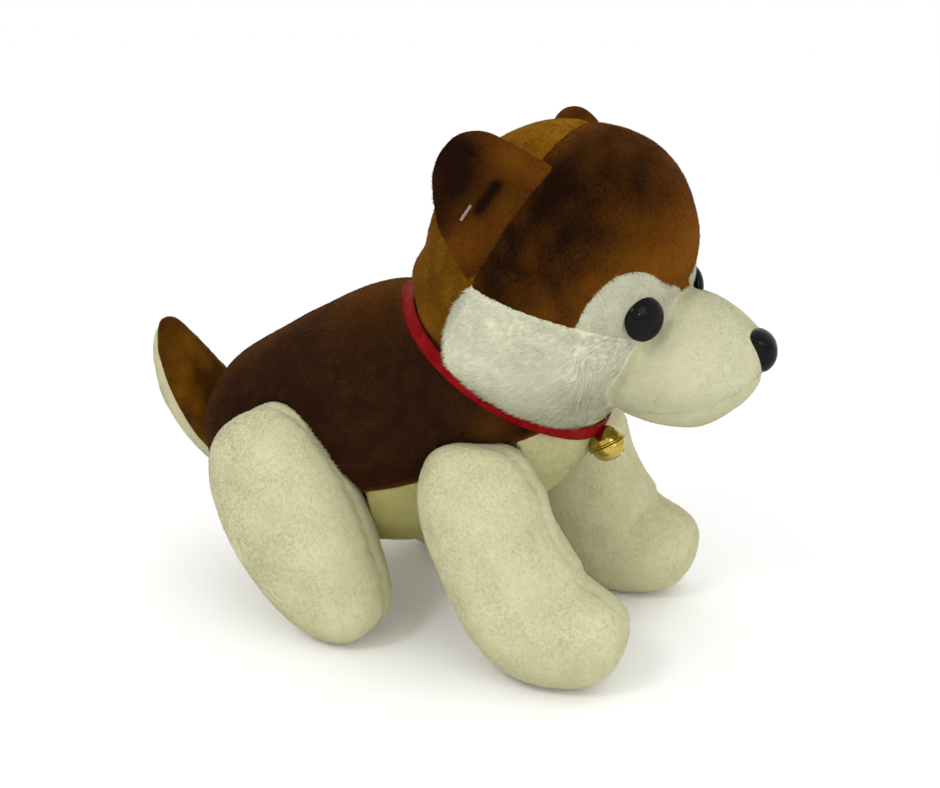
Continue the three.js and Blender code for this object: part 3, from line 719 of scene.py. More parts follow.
def shell(points, triangles, normals, thick):
    """A closed sheet: the outer face, an inner face and the rim between them."""
    count = len(points)
    rim = rim_edges(triangles)
    walls = np.vstack(
        [
            np.column_stack([rim[:, 1], rim[:, 0], rim[:, 0] + count]),
            np.column_stack([rim[:, 1], rim[:, 0] + count, rim[:, 1] + count]),
        ]
    )
    inner = triangles[:, ::-1] + count
    return np.vstack([points, points - normals * thick]), np.vstack([triangles, inner, walls])


@dataclass
class Joint:
    """How a soft piece follows a body: rigid on it; a piece given a second body is left fixed where it was
    made.
    """

    body: str
    other: str = ""
    start: tuple = ()
    end: tuple = ()

    def hold(self, piece):
        """Ties a piece to its body, or fixes it in place when it is given two."""
        if not self.other:
            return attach(piece, self.body)
        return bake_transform(piece)


def grow_pile(name, points, triangles, normals, nap_and_light, fabric, flow, joint, seed, bare=None):
    """Short tapered tufts all over a panel but where it is bare, combed along a direction."""
    random = np.random.default_rng(seed)
    a, b, c = (points[triangles[:, k]] for k in range(3))
    area = np.linalg.norm(np.cross(b - a, c - a), axis=1) / 2
    if bare is not None:
        area[bare((a + b + c) / 3)] = 0
    count = int(area.sum() * fabric.density * PILE_SHARE)
    pick = random.choice(len(area), count, p=area / area.sum())
    u, v = random.random((2, count, 1))
    u, v = np.where(u + v > 1, 1 - u, u), np.where(u + v > 1, 1 - v, v)
    shares = ((0, 1 - u - v), (1, u), (2, v))

    def at(values):
        """The values at the tufts' roots."""
        return sum(values[triangles[pick, k]] * share for k, share in shares)

    root, out = at(points), unit(at(normals))
    shade = at(nap_and_light[:, None])[:, 0]
    combed = np.asarray(flow, float) - out * (out @ np.asarray(flow, float))[:, None]
    combed = unit(combed + 1e-3)
    across = np.cross(out, combed)
    swirl = 0.3 * ripple(root, 24, seed + 1) + 0.3 * random.normal(size=count)
    lay = combed * np.cos(swirl)[:, None] + across * np.sin(swirl)[:, None]
    tilt = np.radians(fabric.tilt + 4 * ripple(root, 14, seed + 2) + 4 * random.normal(size=count))
    reach = fabric.length * random.uniform(0.7, 1.25, count)
    ahead = out * np.cos(tilt)[:, None] + lay * np.sin(tilt)[:, None]
    tip = root + ahead * reach[:, None]
    knots = max(count // 14, 1)
    middle = random.choice(count, knots, replace=False)
    tree = tree_of(root[middle])
    own = middle[np.array([tree.find(p)[1] for p in root])]
    tip += (tip[own] - tip) * fabric.clump * random.uniform(0.4, 1.2, (count, 1))
    base = root - out * 0.15
    sideways = unit(np.cross(ahead, out))
    forward = np.cross(out, sideways)
    half = fabric.width / 2 * random.uniform(0.7, 1.2, (count, 1))
    corners = [
        base + sideways * half,
        base - (sideways * 0.5 + forward * 0.87) * half,
        base - (sideways * 0.5 - forward * 0.87) * half,
        tip,
    ]
    vertices = np.stack(corners, 1).reshape(-1, 3)
    vertices[:, 2] = np.maximum(vertices[:, 2], FLOOR_Z + 0.02)
    first = np.arange(count)[:, None, None] * 4
    sides = np.array([(1, 0, 3), (2, 1, 3), (0, 2, 3), (0, 1, 2)])
    faces = (first + sides[None]).reshape(-1, 3)
    mesh = bpy.data.meshes.new(name)
    mesh.vertices.add(len(vertices))
    mesh.vertices.foreach_set("co", placed(vertices).astype(np.float32).ravel())
    mesh.loops.add(faces.size)
    mesh.loops.foreach_set("vertex_index", faces.astype(np.int32).ravel())
    mesh.polygons.add(len(faces))
    mesh.polygons.foreach_set("loop_start", np.arange(0, faces.size, 3, dtype=np.int32))
    mesh.update(calc_edges=True)
    level = (shade + SHADE_SCATTER * random.normal(size=count)) * SHADES
    level = np.clip(level, 0, SHADES - 0.01).astype(np.int32)
    mesh.polygons.foreach_set("material_index", np.repeat(level, 4))
    mesh.polygons.foreach_set("use_smooth", np.ones(len(faces), bool))
    facing = unit(out - lay * 0.1 + 0.04 * random.normal(size=(count, 3)))
    mesh.normals_split_custom_set_from_vertices(np.repeat(facing, 4, axis=0).tolist())
    pile = add_object(name, mesh, *tuft_materials(name, fabric))
    joint.hold(pile)
    return pile


def soft_piece(suffix, node, points, faces, material, joint, nap_and_light=None, sharp=50):
    """A stuffed piece that stands for a CAD node and follows its joint."""
    mesh = mesh_of(node, points, faces)
    if nap_and_light is not None:
        mesh.attributes.new("nap_and_light", "FLOAT", "POINT").data.foreach_set("value", nap_and_light.astype(np.float32))
    shaded_smooth(mesh, sharp)
    piece = add_object(f"{node}_{suffix}", mesh, material)
    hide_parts(node)
    joint.hold(piece)


def seams_between(triangles, labels, count):
    """Points where panels meet."""
    low, high = np.full(count, 99), np.full(count, -99)
    for k in range(3):
        np.minimum.at(low, triangles[:, k], labels)
        np.maximum.at(high, triangles[:, k], labels)
    return np.flatnonzero(low < high)


@dataclass
class Panel:
    """A sewn panel of a skin, which stands for a CAD node."""

    node: str
    fabric: Fabric
    nap_and_light: object  # gives the nap at points, from 0 lying flat to 1 brushed up, with painted light and shade on some panels
    flow: tuple  # direction that the pile is combed in
    fill: float = 0.8
    bare: object = None  # tells which points carry no pile


def sewn(points, triangles, labels, panels, joint, seed, pinch, width, crown):
    """Pinches a skin at its seams, then makes each panel with its pile."""
    normals = normals_of(points, triangles)
    distance = near_points(points, points[seams_between(triangles, labels, len(points))])
    near = np.exp(-((distance / width) ** 2))
    relief = crown * (ease(distance, 0, 16) - 0.5) - pinch * near
    relief += 0.18 * np.exp(-((distance / 5) ** 2)) * ripple(points, 7, seed)
    relief += 0.35 * ripple(points, 42, seed + 1) + 0.12 * ripple(points, 18, seed + 2)
    points = points + normals * relief[:, None]
    normals = normals_of(points, triangles)
    for k, panel in enumerate(panels):
        node, fabric = panel.node, panel.fabric
        p, t, n = part_of(points, triangles[labels == k], normals)
        nap_and_light = np.clip(panel.nap_and_light(p), 0, 1)
        sheet, faces = shell(p, t, n, SKIN)
        backing = pile_backing(f"{node}_backing", fabric)
        soft_piece("skin", node, sheet, faces, backing, joint, np.tile(nap_and_light, 2))
        combing = (panel.flow, joint, seed + 10 * k, panel.bare)
        grow_pile(f"{node}_pile", p, t, n, nap_and_light, fabric, *combing)


def mottle(base, strength, seed, spots=()):
    """A nap that varies in soft patches, with spots of centre, radius and strength; some panels use spots
    for painted sheen.
    """

    def nap_and_light(points):
        """The nap, with any painted sheen, at points."""
        value = base + strength * (0.7 * ripple(points, 26, seed) + 0.5 * ripple(points, 10, seed + 1))
        for centre, radius, amount in spots:
            value = value + amount * np.exp(-((np.linalg.norm(points - centre, axis=1) / radius) ** 2))
        return value

    return nap_and_light


def mirrored(points):
    """The same points on the other side of the dog."""
    return points * np.array([1, -1, 1])


def on_side(side, points):
    """Points of the right side, or their mirror image on the left."""
    return points if side == "right" else mirrored(points)


# ------------------------------------------------------------------ legs

SOLE_Z = FLOOR_Z + 0.6  # the skin under a foot, with the pile below it
SOLE_EASE = 4.0  # height over which a foot flattens onto its sole

legs = {}
for kind, (stations, roundness) in LEGS.items():
    points, triangles = fused([loft(stations, roundness)], SKIN_CELL)
    low = points[:, 2] - SOLE_Z
    flattened = SOLE_EASE * np.exp((low - SOLE_EASE) / SOLE_EASE)
    points[:, 2] = SOLE_Z + np.where(low > SOLE_EASE, low, flattened)
    legs[kind] = (points, triangles)

LEG_JOINTS = {
    "front_leg": ((26, -50, 104), (44, -50, 50)),
    "hind_leg": ((-76, -50, 100), (-55, -50, 50)),
}


def leg_joint(kind, side):
    """A leg's joint between the torso and the leg, with points from its top on the torso down to where it
    moves as a whole.
    """
    start, end = (tuple(on_side(side, np.array(p))) for p in LEG_JOINTS[kind])
    return Joint("torso", f"{kind}_{side}", start, end)


for k, (kind, (whole, faces)) in enumerate(legs.items()):
    for side in ("right", "left"):
        right = side == "right"
        sheet = on_side(side, whole)
        turned = faces if right else faces[:, ::-1]
        way = 1 if right else -1
        p, t, value, _ = cut(sheet, turned, way * sheet[:, 1] - LEG_SEAMS_Y[kind])
        labels = (value[t].sum(1) > 0).astype(int)
        seed = 100 * (1 + k) + 50 * right
        panels = []
        for n, part in enumerate(("outer", "inner")):
            nap_and_light = mottle(0.5, 0.16, seed + n)
            panels.append(Panel(f"{kind}_{part}_panel_{side}", CREAM, nap_and_light, (0.25, 0, -1), 0.85))
        sewn(p, t, labels, panels, leg_joint(kind, side), seed, pinch=0.8, width=2.6, crown=1.0)


# ------------------------------------------------------------------ torso

points, triangles = fused([loft(TORSO, 0.6)], SKIN_CELL)


def pressed_in(points, triangles, form, clearance, depth):
    """Pushes the skin in along its normals until it is clear of a form."""
    normals = normals_of(points, triangles)
    for _ in range(12):
        near = np.flatnonzero(
            ((points > form[0].min(0) - 2) & (points < form[0].max(0) + 2)).all(1)
        )
        inside = clearance - outside_of(points[near], form)
        push = np.clip(inside, 0, depth / 8)
        if push.max(initial=0) < 0.05:
            break
        points = points.copy()
        points[near] -= normals[near] * push[:, None]
    return points


def clear_of_legs(points, triangles, clearance):
    """The torso's points, pushed in where the four legs lie against it."""
    for whole, faces in legs.values():
        for form in ((whole, faces), (mirrored(whole), faces[:, ::-1])):
            points = pressed_in(points, triangles, form, clearance, LEG_PRESS)
    return points


whole_torso = (points.copy(), triangles)
points = clear_of_legs(points, triangles, 0.6)
below_neck = (points - HEAD_CENTRE) @ NECK_DOWN
pinch = np.exp(-(((below_neck - RIBBON_TOP - RIBBON_WIDTH / 2) / 5) ** 2))
bell_room = np.exp(-((np.linalg.norm(points - BELL_CENTRE, axis=1) / 14) ** 2))
pressed = RIBBON_PINCH * pinch + BELL_ROOM * bell_room
points = points - normals_of(points, triangles) * pressed[:, None]
head_distance = np.linalg.norm(points - HEAD_CENTRE, axis=1)
points, triangles, value, _ = cut(points, triangles, head_distance - SOCKET)
triangles = triangles[value[triangles].sum(1) > 0]
saddle = region(SADDLE_SEAM, SADDLE_FRONT, [(50, 240)], [(-180, 240)], [(-180, 50)])
points, triangles, value, _ = cut(points, triangles, within(points, saddle))
labels = (value[triangles].sum(1) < 0).astype(int)
points, triangles = part_of(points, triangles)
# The two spots along the top of the back are painted golden sheen.
saddle_mottle_and_sheen = mottle(
    0.03, 0.02, 300, [((-30, 0, 148), 30, 0.45), ((-100, 0, 120), 24, 0.35), ((30, -46, 100), 9, 0.25)]
)


def saddle_nap_and_sheen(points):
    """Dark, with golden tips along the seam and golden sheen painted along the top of the back."""
    return saddle_mottle_and_sheen(points) + 0.6 * np.exp(-((within(points, saddle) / 2.2) ** 2))


belly_mottle = mottle(0.1, 0.12, 320)


def belly_nap_and_shade(points):
    """Yellower and darker under the belly, where shade is painted, and paler up the chest."""
    return belly_mottle(points) + 0.6 * ease(points[:, 0], 0, 40)


def under_ribbon(points):
    """Where the ribbon presses the pile flat."""
    below = (points - HEAD_CENTRE) @ NECK_DOWN - RIBBON_TOP
    return (below > -0.6) & (below < RIBBON_WIDTH + 0.6)


sewn(
    points,
    triangles,
    labels,
    [
        Panel("back_panel", SADDLE, saddle_nap_and_sheen, (-1, 0, -0.35), bare=under_ribbon),
        Panel("belly_panel", BELLY, belly_nap_and_shade, (-0.6, 0, -1), bare=under_ribbon),
    ],
    Joint("torso"),
    310,
    pinch=1.0,
    width=2.6,
    crown=2.0,
)


# ------------------------------------------------------------------ head

cranium, muzzle = loft(CRANIUM, 0.62), loft(MUZZLE, 0.6)
reach = math.sqrt(NECK_PLUG**2 - NECK_RADIUS**2)
plug = [(1.0, -20), (NECK_RADIUS - 4, -18), (NECK_RADIUS, -8), (NECK_RADIUS, reach)]
for k in range(1, 14):
    angle = math.asin(reach / NECK_PLUG) + (math.pi / 2 - math.asin(reach / NECK_PLUG)) * k / 14
    plug.append((NECK_PLUG * math.cos(angle), NECK_PLUG * math.sin(angle)))
neck = revolve(plug, 96, HEAD_CENTRE, NECK_DOWN)
points, triangles = fused([cranium, muzzle, neck], SKIN_CELL)

from_head = np.minimum(outside_of(points, cranium), outside_of(points, neck))
from_muzzle = outside_of(points, muzzle)
junction = np.exp(-(((np.abs(from_head) + np.abs(from_muzzle)) / 4) ** 2))
points = smoothed(points, triangles, junction, 14)


def muzzle_side(points):
    """Above zero where the head's surface belongs to the muzzle."""
    head = np.minimum(outside_of(points, cranium), outside_of(points, neck))
    beside = ease(np.abs(points[:, 1]), 22, 34) * (1 - ease(points[:, 2], 138, 143))
    upright = np.clip(0.27 * (points[:, 2] - 127), -2.5, 3) * beside
    return head - outside_of(points, muzzle) + upright


back = region(CHEEK_BACK_SEAM[::-1], CROWN_BACK_SEAM, [(-120, 240)], [(-120, 80)])
crown = region(CROWN_BACK_SEAM[::-1], CROWN_CHEEK_SEAM, PATCH_TOP_SEAM, [(160, 152)], [(160, 240)])
patch = region(PATCH_TOP_SEAM, [(91, 152), (91, 134)], PATCH_LOW_SEAM[::-1])
chin = region(CHIN_SEAM, [(160, 124)], [(160, 20)], [(50, 20)])


HEAD_PANELS = [
    "head_back_panel",
    "crown_panel",
    "eye_patch_right",
    "eye_patch_left",
    "cheek_right",
    "cheek_left",
    "muzzle_panel",
    "chin_panel",
]
skin = (points, triangles, np.full(len(triangles), HEAD_PANELS.index("cheek_right")))
for where, name, value in (
    ("cheek_right", "muzzle_panel", muzzle_side),
    ("muzzle_panel", "chin_panel", lambda p: within(p, chin)),
    ("cheek_right", "head_back_panel", lambda p: within(p, back)),
    ("cheek_right", "crown_panel", lambda p: within(p, crown)),
    ("cheek_right", "eye_patch_right", lambda p: within(p, patch)),
    ("cheek_right", "cheek_left", lambda p: p[:, 1]),
    ("eye_patch_right", "eye_patch_left", lambda p: p[:, 1]),
):
    skin = relabelled(skin, value(skin[0]), HEAD_PANELS.index(where), HEAD_PANELS.index(name))
points, triangles, labels = skin

# The spots at the front of the crown and on its top are painted golden sheen.
crown_spots_and_sheen = []
for s in (-1, 1):
    crown_spots_and_sheen += [
        ((94, 12 * s, 168), 21, 0.5),
        ((84, 34 * s, 178), 16, 0.25),
        ((70, 22 * s, 208), 12, 0.12),
        ((56, 40 * s, 196), 18, -0.15),
    ]
crown_mottle_and_sheen = mottle(0.12, 0.1, 405, crown_spots_and_sheen)


def crown_nap_and_sheen(points):
    """Golden with painted sheen at the front, brushed golden along the lower rim, dark elsewhere."""
    rim = np.exp(-((within(points, crown) / 8) ** 2)) * ease(points[:, 0], 34, 58)
    return crown_mottle_and_sheen(points) + 0.45 * rim


def cheek_nap_and_shade(side):
    """White on the cheek, with painted shade where it turns under towards the ribbon."""
    patches = mottle(0.22, 0.1, 405 + side)
    return lambda points: patches(points) + 0.5 * ease(points[:, 2], 108, 134)


def in_socket(points):
    """Where the head's skin is tucked into the torso."""
    off = points - HEAD_CENTRE
    return (np.linalg.norm(off, axis=1) < NECK_PLUG + 0.6) & (off @ NECK_DOWN > reach + 1.5)


head_panels = [
    # The head back's spot on the top of the head is painted golden sheen.
    Panel("head_back_panel", GOLDEN, mottle(0.4, 0.16, 404, [((40, 0, 214), 30, 0.5)]), (-0.2, 0, -1)),
    Panel("crown_panel", CROWN, crown_nap_and_sheen, (0.25, 0, -1)),
    Panel("eye_patch_right", SHORT_WHITE, mottle(0.4, 0.12, 402), (-0.6, 0, 1)),
    Panel("eye_patch_left", SHORT_WHITE, mottle(0.4, 0.12, 403), (-0.6, 0, 1)),
    Panel("cheek_right", WHITE, cheek_nap_and_shade(1), (-1, -0.2, -0.4)),
    Panel("cheek_left", WHITE, cheek_nap_and_shade(-1), (-1, 0.2, -0.4)),
    Panel("muzzle_panel", SHORT_CREAM, mottle(0.6, 0.12, 407), (-1, 0, 0.2)),
    Panel("chin_panel", SHORT_CREAM, mottle(0.5, 0.12, 408), (-1, 0, 0)),
]
for panel in head_panels:
    panel.bare = in_socket
low_cheek = region(CROWN_CHEEK_SEAM, [(70, 140), (64, 96)], [(4, 96)], CHEEK_BACK_SEAM[::-1])
fullness = CHEEK_FULLNESS * ease(within(points, low_cheek), 0, 8) * ease(np.abs(points[:, 1]), 8, 30)
points = points + normals_of(points, triangles) * fullness[:, None]
along_neck = (points - HEAD_CENTRE) @ NECK_DOWN
from_neck = np.linalg.norm(points - HEAD_CENTRE - along_neck[:, None] * NECK_DOWN, axis=1)
droop = ease(along_neck, 8, 26) * ease(from_neck, 49.5, 52.5) * (1 - ease(points[:, 0], 40, 62))
points = points + NECK_DOWN * (CHEEK_DROOP * droop)[:, None]
sewn(points, triangles, labels, head_panels, Joint("head"), 400, pinch=0.9, width=2.4, crown=0.8)


# ------------------------------------------------------------------ tail

points, triangles = fused([loft(TAIL, 0.6, 64, 48)], 1.2)
behind = region(TAIL_SEAM, [(-190, 126)], [(-190, 20)])
points, triangles, value, _ = cut(points, triangles, within(points, behind))
labels = (value[triangles].sum(1) > 0).astype(int)
tail_joint = Joint("torso", "tail", (-108, 0, 50), (-128, 0, 72))
sewn(
    points,
    triangles,
    labels,
    [
        Panel("tail_front_panel", GOLDEN, mottle(0.14, 0.16, 501), (-0.4, 0, 1)),
        Panel("tail_rear_panel", CREAM, mottle(0.4, 0.14, 502), (-0.4, 0, 1)),
    ],
    tail_joint,
    500,
    pinch=0.7,
    width=2.0,
    crown=0.6,
)


# ------------------------------------------------------------------ ears

ear_x = unit(EAR_HIGH - EAR_LOW)
ear_z = unit(np.cross(ear_x, EAR_OUTWARD))
ear_y = np.cross(ear_z, ear_x)
ear_length = float(np.linalg.norm(EAR_HIGH - EAR_LOW))


def ear_sheet(flat):
    """Height of the ear's middle layer: forward at its base, cupped beyond, with a fold."""
    across = (flat[..., 0] - ear_length / 2) / (ear_length / 2)
    away = np.maximum(flat[..., 1], 0) / 40
    cupped = ease(flat[..., 1], 0, EAR_CUP_AT)
    height = (1 - across**2) * (EAR_BASE_RISE * (1 - cupped) - EAR_CUP * (1 - 0.45 * away) * cupped)
    fold = np.exp(-(((flat[..., 1] - EAR_FOLD_AT) / 2.6) ** 2)) * ease(flat[..., 0], 18, 25)
    return height - EAR_FOLD_DEPTH * fold * (1 - ease(flat[..., 0], 33, 42))


def in_ear(flat, height):
    """Points of the right ear from its own plane."""
    return EAR_LOW + flat[..., :1] * ear_x + flat[..., 1:] * ear_y + height[..., None] * ear_z


def ear_layer(front):
    """One crowned layer of the right ear: points, triangles and which are its outer face."""
    rim = closed_curve(EAR_OUTLINE[::-1], EAR_RIM_POINTS)
    middle = rim.mean(0)
    share = np.sin(np.linspace(0.03, math.pi / 2, EAR_RINGS))
    outer = middle + (rim - middle) * share[:, None, None]
    inner = outer[::-1]
    puff = EAR_EDGE + EAR_PUFF * (1 - share**3)[:, None]
    way = 1 if front else -1
    height = np.concatenate([ear_sheet(outer) + way * puff, ear_sheet(inner) + way * EAR_GAP])
    rows = in_ear(np.concatenate([outer, inner]), height)
    tips = in_ear(middle[None], ear_sheet(middle[None]) + way * np.array([EAR_EDGE + EAR_PUFF]))
    back = in_ear(middle[None], ear_sheet(middle[None]) + way * np.array([EAR_GAP]))
    points, faces = closed_rows(rows, tips, back)
    triangles = triangles_of(faces)
    shown = (triangles < EAR_RINGS * EAR_RIM_POINTS).all(1) | (triangles == len(points) - 2).any(1)
    return points, triangles, shown


ear_base = (EAR_LOW + EAR_HIGH) / 2


def ear_nap_and_light(points):
    """Golden along the base, where a highlight is painted, dark in the fold, where shade is painted, and
    dark out towards the rim.
    """
    off = np.column_stack([points[:, 0], -np.abs(points[:, 1]), points[:, 2]]) - EAR_LOW
    flat = np.column_stack([off @ ear_x, off @ ear_y])
    # A golden highlight is painted along the ear's base.
    base = 0.07 + 0.34 * (1 - ease(flat[:, 1], 11, 24)) + 0.07 * ripple(points, 16, 601)
    base = base + 0.3 * ease(flat[:, 0], 38, 47)
    # Painted shade in the ear's fold.
    fold = np.exp(-(((flat[:, 1] - EAR_FOLD_AT) / 1.8) ** 2)) * ease(flat[:, 0], 19, 24)
    return base - 0.6 * fold * (1 - ease(flat[:, 0], 33, 39))


rear_ear_nap = mottle(0.25, 0.2, 620)
for side in ("right", "left"):
    start, end = on_side(side, ear_base), on_side(side, ear_base + ear_y * 14)
    flow = on_side(side, ear_y * 0.6 - ear_x)
    hinge = Joint("head", f"ear_{side}", tuple(start), tuple(end))
    for layer in ("front", "rear"):
        points, triangles, shown = ear_layer(layer == "front")
        points = on_side(side, points)
        triangles = facing_out(points, triangles)
        normals = normals_of(points, triangles)
        points = points + normals * (0.3 * ripple(points, 14, 610))[:, None]
        nap_and_light = np.clip(ear_nap_and_light(points) if layer == "front" else rear_ear_nap(points), 0, 1)
        node = f"ear_{layer}_panel_{side}"
        backing = pile_backing(f"{node}_backing", CROWN)
        soft_piece("skin", node, points, triangles, backing, hinge, nap_and_light, sharp=80)
        grow_pile(f"{node}_pile", points, triangles[shown], normals, nap_and_light, EAR, tuple(flow), hinge, 630)


# ------------------------------------------------------------------ safety eyes, nose, tag


def glossy_plastic(name, colour, roughness, scale, **sockets):
    """Moulded plastic: a clear hard gloss with faint handling marks and mottling."""
    look = Look(name)
    marks = look.noise(scale, 5.0, 0.7)
    look.coloured(marks, darker(colour, 0.25), mixed(colour, (1, 1, 1), 0.004))
    look.roughened(marks, roughness * 0.6, roughness * 1.8)
    look.bumped(marks, 0.05, 0.0002)
    look.set(**sockets)
    return look.material


def solid_piece(name, shape, material, body, slot_name, *nodes, sharp=45):
    """A hard piece: its mesh, finish, body and the CAD nodes that it stands for."""
    mesh = mesh_of(name, *shape)
    shaded_smooth(mesh, sharp)
    piece = add_object(name, mesh, material)
    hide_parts(*nodes)
    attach(piece, body)
    return piece


black = glossy_plastic("black_plastic", srgb(9, 9, 11), 0.06, 260.0, Specular_IOR_Level=0.09)
dome = [(EYE_RADIUS * 0.94, EYE_SEAT), (EYE_RADIUS, EYE_SEAT + 0.35)]
for k in range(1, 26):
    angle = k / 26 * math.pi / 2
    dome.append((EYE_RADIUS * math.cos(angle), EYE_SEAT + 0.8 + (EYE_HEIGHT - 0.8) * math.sin(angle)))
stem = [(POST_RADIUS, -11), (POST_RADIUS, EYE_SEAT + 1)]
for side in ("right", "left"):
    at, out = on_side(side, EYE), on_side(side, np.array(EYE_OUT))
    eye = joined_shapes(revolve(dome, 72, at, out), revolve(stem, 24, at, out))
    solid_piece(f"eye_{side}_dome", eye, black, "head", "black_plastic", f"eye_{side}")

nose_y = unit(np.cross(unit(np.cross((0, 1, 0), (-0.25, 0, 0.97))), (0, 1, 0)))
nose_z = np.cross((0, 1, 0), nose_y)
rim = closed_curve(NOSE_OUTLINE[::-1], 96)
share = np.sin(np.linspace(0.03, math.pi / 2, 28))
flat = rim * share[:, None, None]
flat = np.concatenate([flat, flat[::-1]])
cap = 4.5 * np.sqrt(np.clip(1 - share**2.4, 0, 1))
cap = np.concatenate([cap, -cap[::-1]])[:, None]
height = 3 - 2.4 * (flat**2).sum(2) / 81 + cap
rows = NOSE + flat[..., :1] * LEFT + flat[..., 1:] * nose_y + height[..., None] * nose_z
ends = NOSE + np.array([[7.5], [-1.5]]) * nose_z
post = revolve([(POST_RADIUS, -12), (POST_RADIUS, 4)], 24, NOSE, NOSE_OUT)
nose = joined_shapes(closed_rows(rows, ends[:1], ends[1:]), post)
solid_piece("nose_dome", nose, black, "head", "black_plastic", "nose")

clear = glossy_plastic("clear_plastic", srgb(206, 200, 188), 0.16, 500.0, Transmission_Weight=0.75)


def capsule(radius, start, end):
    """A rod with round ends."""
    start, end = np.array(start, float), np.array(end, float)
    length = float(np.linalg.norm(end - start))
    turns = np.linspace(0.2, math.pi / 2, 6)
    profile = [(radius * math.sin(a), radius - radius * math.cos(a)) for a in turns]
    profile += [(r, length - h) for r, h in profile[::-1]]
    return revolve(profile, 20, start, end - start)


def ear_point(x, y, z):
    """A point by its place in the right ear's own plane and its height over it."""
    return in_ear(np.array([x, y]), np.array(float(z)))


tag_height = float(ear_sheet(np.array(TAG_AT)))
BAR_AT, BUTTON_AT = tag_height + 3.8, tag_height - 3.0
bar_start, bar_end = (ear_point(TAG_AT[0] + along, TAG_AT[1], BAR_AT) for along in (-3.5, 3.5))
tag = joined_shapes(
    capsule(0.6, bar_start, bar_end),
    capsule(0.4, ear_point(*TAG_AT, BUTTON_AT + 0.2), ear_point(*TAG_AT, BAR_AT)),
    revolve([(1.0, 0), (1.2, 0.15), (1.2, 0.4), (1.0, 0.55)], 24, ear_point(*TAG_AT, BUTTON_AT), ear_z),
)
solid_piece("tag_fastener_clear", tag, clear, "ear_right", "clear_plastic", "tag_fastener")


# ------------------------------------------------------------------ ribbon collar


def satin(name, colour):
    """Woven satin: fine cross ribs, a woven edge and a directional gloss."""
    look = Look(name)
    weave, worn = look.noise(2600.0, 2.0, 0.5), look.noise(220.0, 3.0, 0.6)
    look.coloured(worn, darker(colour, 0.35), mixed(colour, (1, 0.1, 0.08), 0.06), 0.3, 0.75)
    look.roughened(weave, 0.3, 0.55)
    look.bumped(weave, 0.35, 0.0002)
    look.set(Anisotropic=0.6, Specular_IOR_Level=0.03)
    return look.material


neck_x, neck_y, _ = axes_about(NECK_DOWN)
torso_tree = BVHTree.FromPolygons(*(part.tolist() for part in whole_torso))
RIBBON_POINTS = 240
RIBBON_GAP, RIBBON_THICKNESS = 0.35, 0.9
# Points round the ribbon's section: share of its width, share of its thickness.
RIBBON_SECTION = [(0, 0.05), (0.04, 0.5), (0.2, 0.72), (0.5, 0.8)]
RIBBON_SECTION += [(0.8, 0.72), (0.96, 0.5), (1, 0.05), (0.5, 0.02)]
rows = []
for angle in np.linspace(0, 2 * math.pi, RIBBON_POINTS, endpoint=False):
    out = neck_x * math.cos(angle) + neck_y * math.sin(angle)
    section = []
    for along, lift in RIBBON_SECTION:
        start = HEAD_CENTRE + NECK_DOWN * (RIBBON_TOP + RIBBON_WIDTH * along)
        hit = torso_tree.ray_cast(Vector(start), Vector(out))
        section.append(start + out * (hit[3] + RIBBON_GAP + lift * RIBBON_THICKNESS))
    rows.append(section)
rows = np.array(rows)
rows += NECK_DOWN * (0.35 * ripple(rows.mean(1), 40, 700))[:, None, None]
red = satin("red_satin", srgb(124, 1, 7))
collar = ("collar_ribbon_satin", ring_tube(rows), red, "torso", "red_satin", "collar_ribbon")
solid_piece(*collar, sharp=70)


# ------------------------------------------------------------------ bell


def brass(name, colour, roughness):
    """Plated metal: warm colour drift, fine scratches and a worn gloss."""
    look = Look(name)
    drift, scratches = look.noise(180.0, 3.0, 0.5), look.noise(1500.0, 5.0, 0.75)
    look.coloured(drift, darker(colour, 0.2), mixed(colour, (1, 1, 1), 0.1))
    look.roughened(scratches, roughness * 0.6, roughness * 1.5)
    look.bumped(scratches, 0.12, 0.0001)
    look.set(Metallic=1)
    return look.material


def cup_profile(top):
    """The section of half a bell, from its axis inside, round the rim, to its axis outside."""
    inner = BELL_RADIUS - BELL_WALL
    turns = np.linspace(0.04, math.pi / 2, 20)
    inside = [(inner * math.sin(a), 0.15 + (inner - 0.15) * math.cos(a)) for a in turns]
    rim = BELL_RADIUS + BELL_RIM
    lip = [(rim - 0.15, 0.15), (rim, 0.3), (rim, 0.65), (rim - 0.2, 0.85), (BELL_RADIUS + 0.15, 0.9)]
    over = BELL_RADIUS - 0.95
    outside = [(BELL_RADIUS * math.sin(a), 0.95 + over * math.cos(a)) for a in turns[::-1]]
    profile = inside + lip + outside
    return profile if top else [(r, -h) for r, h in profile[::-1]]


def cutter(name, shape):
    """A hidden shape for one boolean."""
    made = bpy.data.objects.new(name, mesh_of(name, *shape))
    bpy.context.scene.collection.objects.link(made)
    return made


gold = brass("gold_bell", srgb(186, 158, 44), 0.14)
bell_up = -BELL_DOWN
wire = np.linspace(0, 2 * math.pi, 16, endpoint=False)
loop_forward = unit(np.cross(LEFT, bell_up))
rows = []
for angle in np.linspace(0, 2 * math.pi, 48, endpoint=False):
    out = LEFT * math.cos(angle) + loop_forward * math.sin(angle)
    middle = BELL_HANGER + out * LOOP_RADIUS
    rows.append([middle + (out * math.cos(w) + unit(bell_up) * math.sin(w)) * LOOP_WIRE for w in wire])
loop = ring_tube(np.array(rows))
upper = joined_shapes(revolve(cup_profile(True), 72, BELL_CENTRE, bell_up), loop)
solid_piece("bell_upper_cup_brass", upper, gold, "bell", "gold_bell", "bell_upper_cup")
lower = revolve(cup_profile(False), 72, BELL_CENTRE, bell_up)
lower = solid_piece("bell_lower_cup_brass", lower, gold, "bell", "gold_bell", "bell_lower_cup")
slot_x, slot_y, _ = axes_about(bell_up)
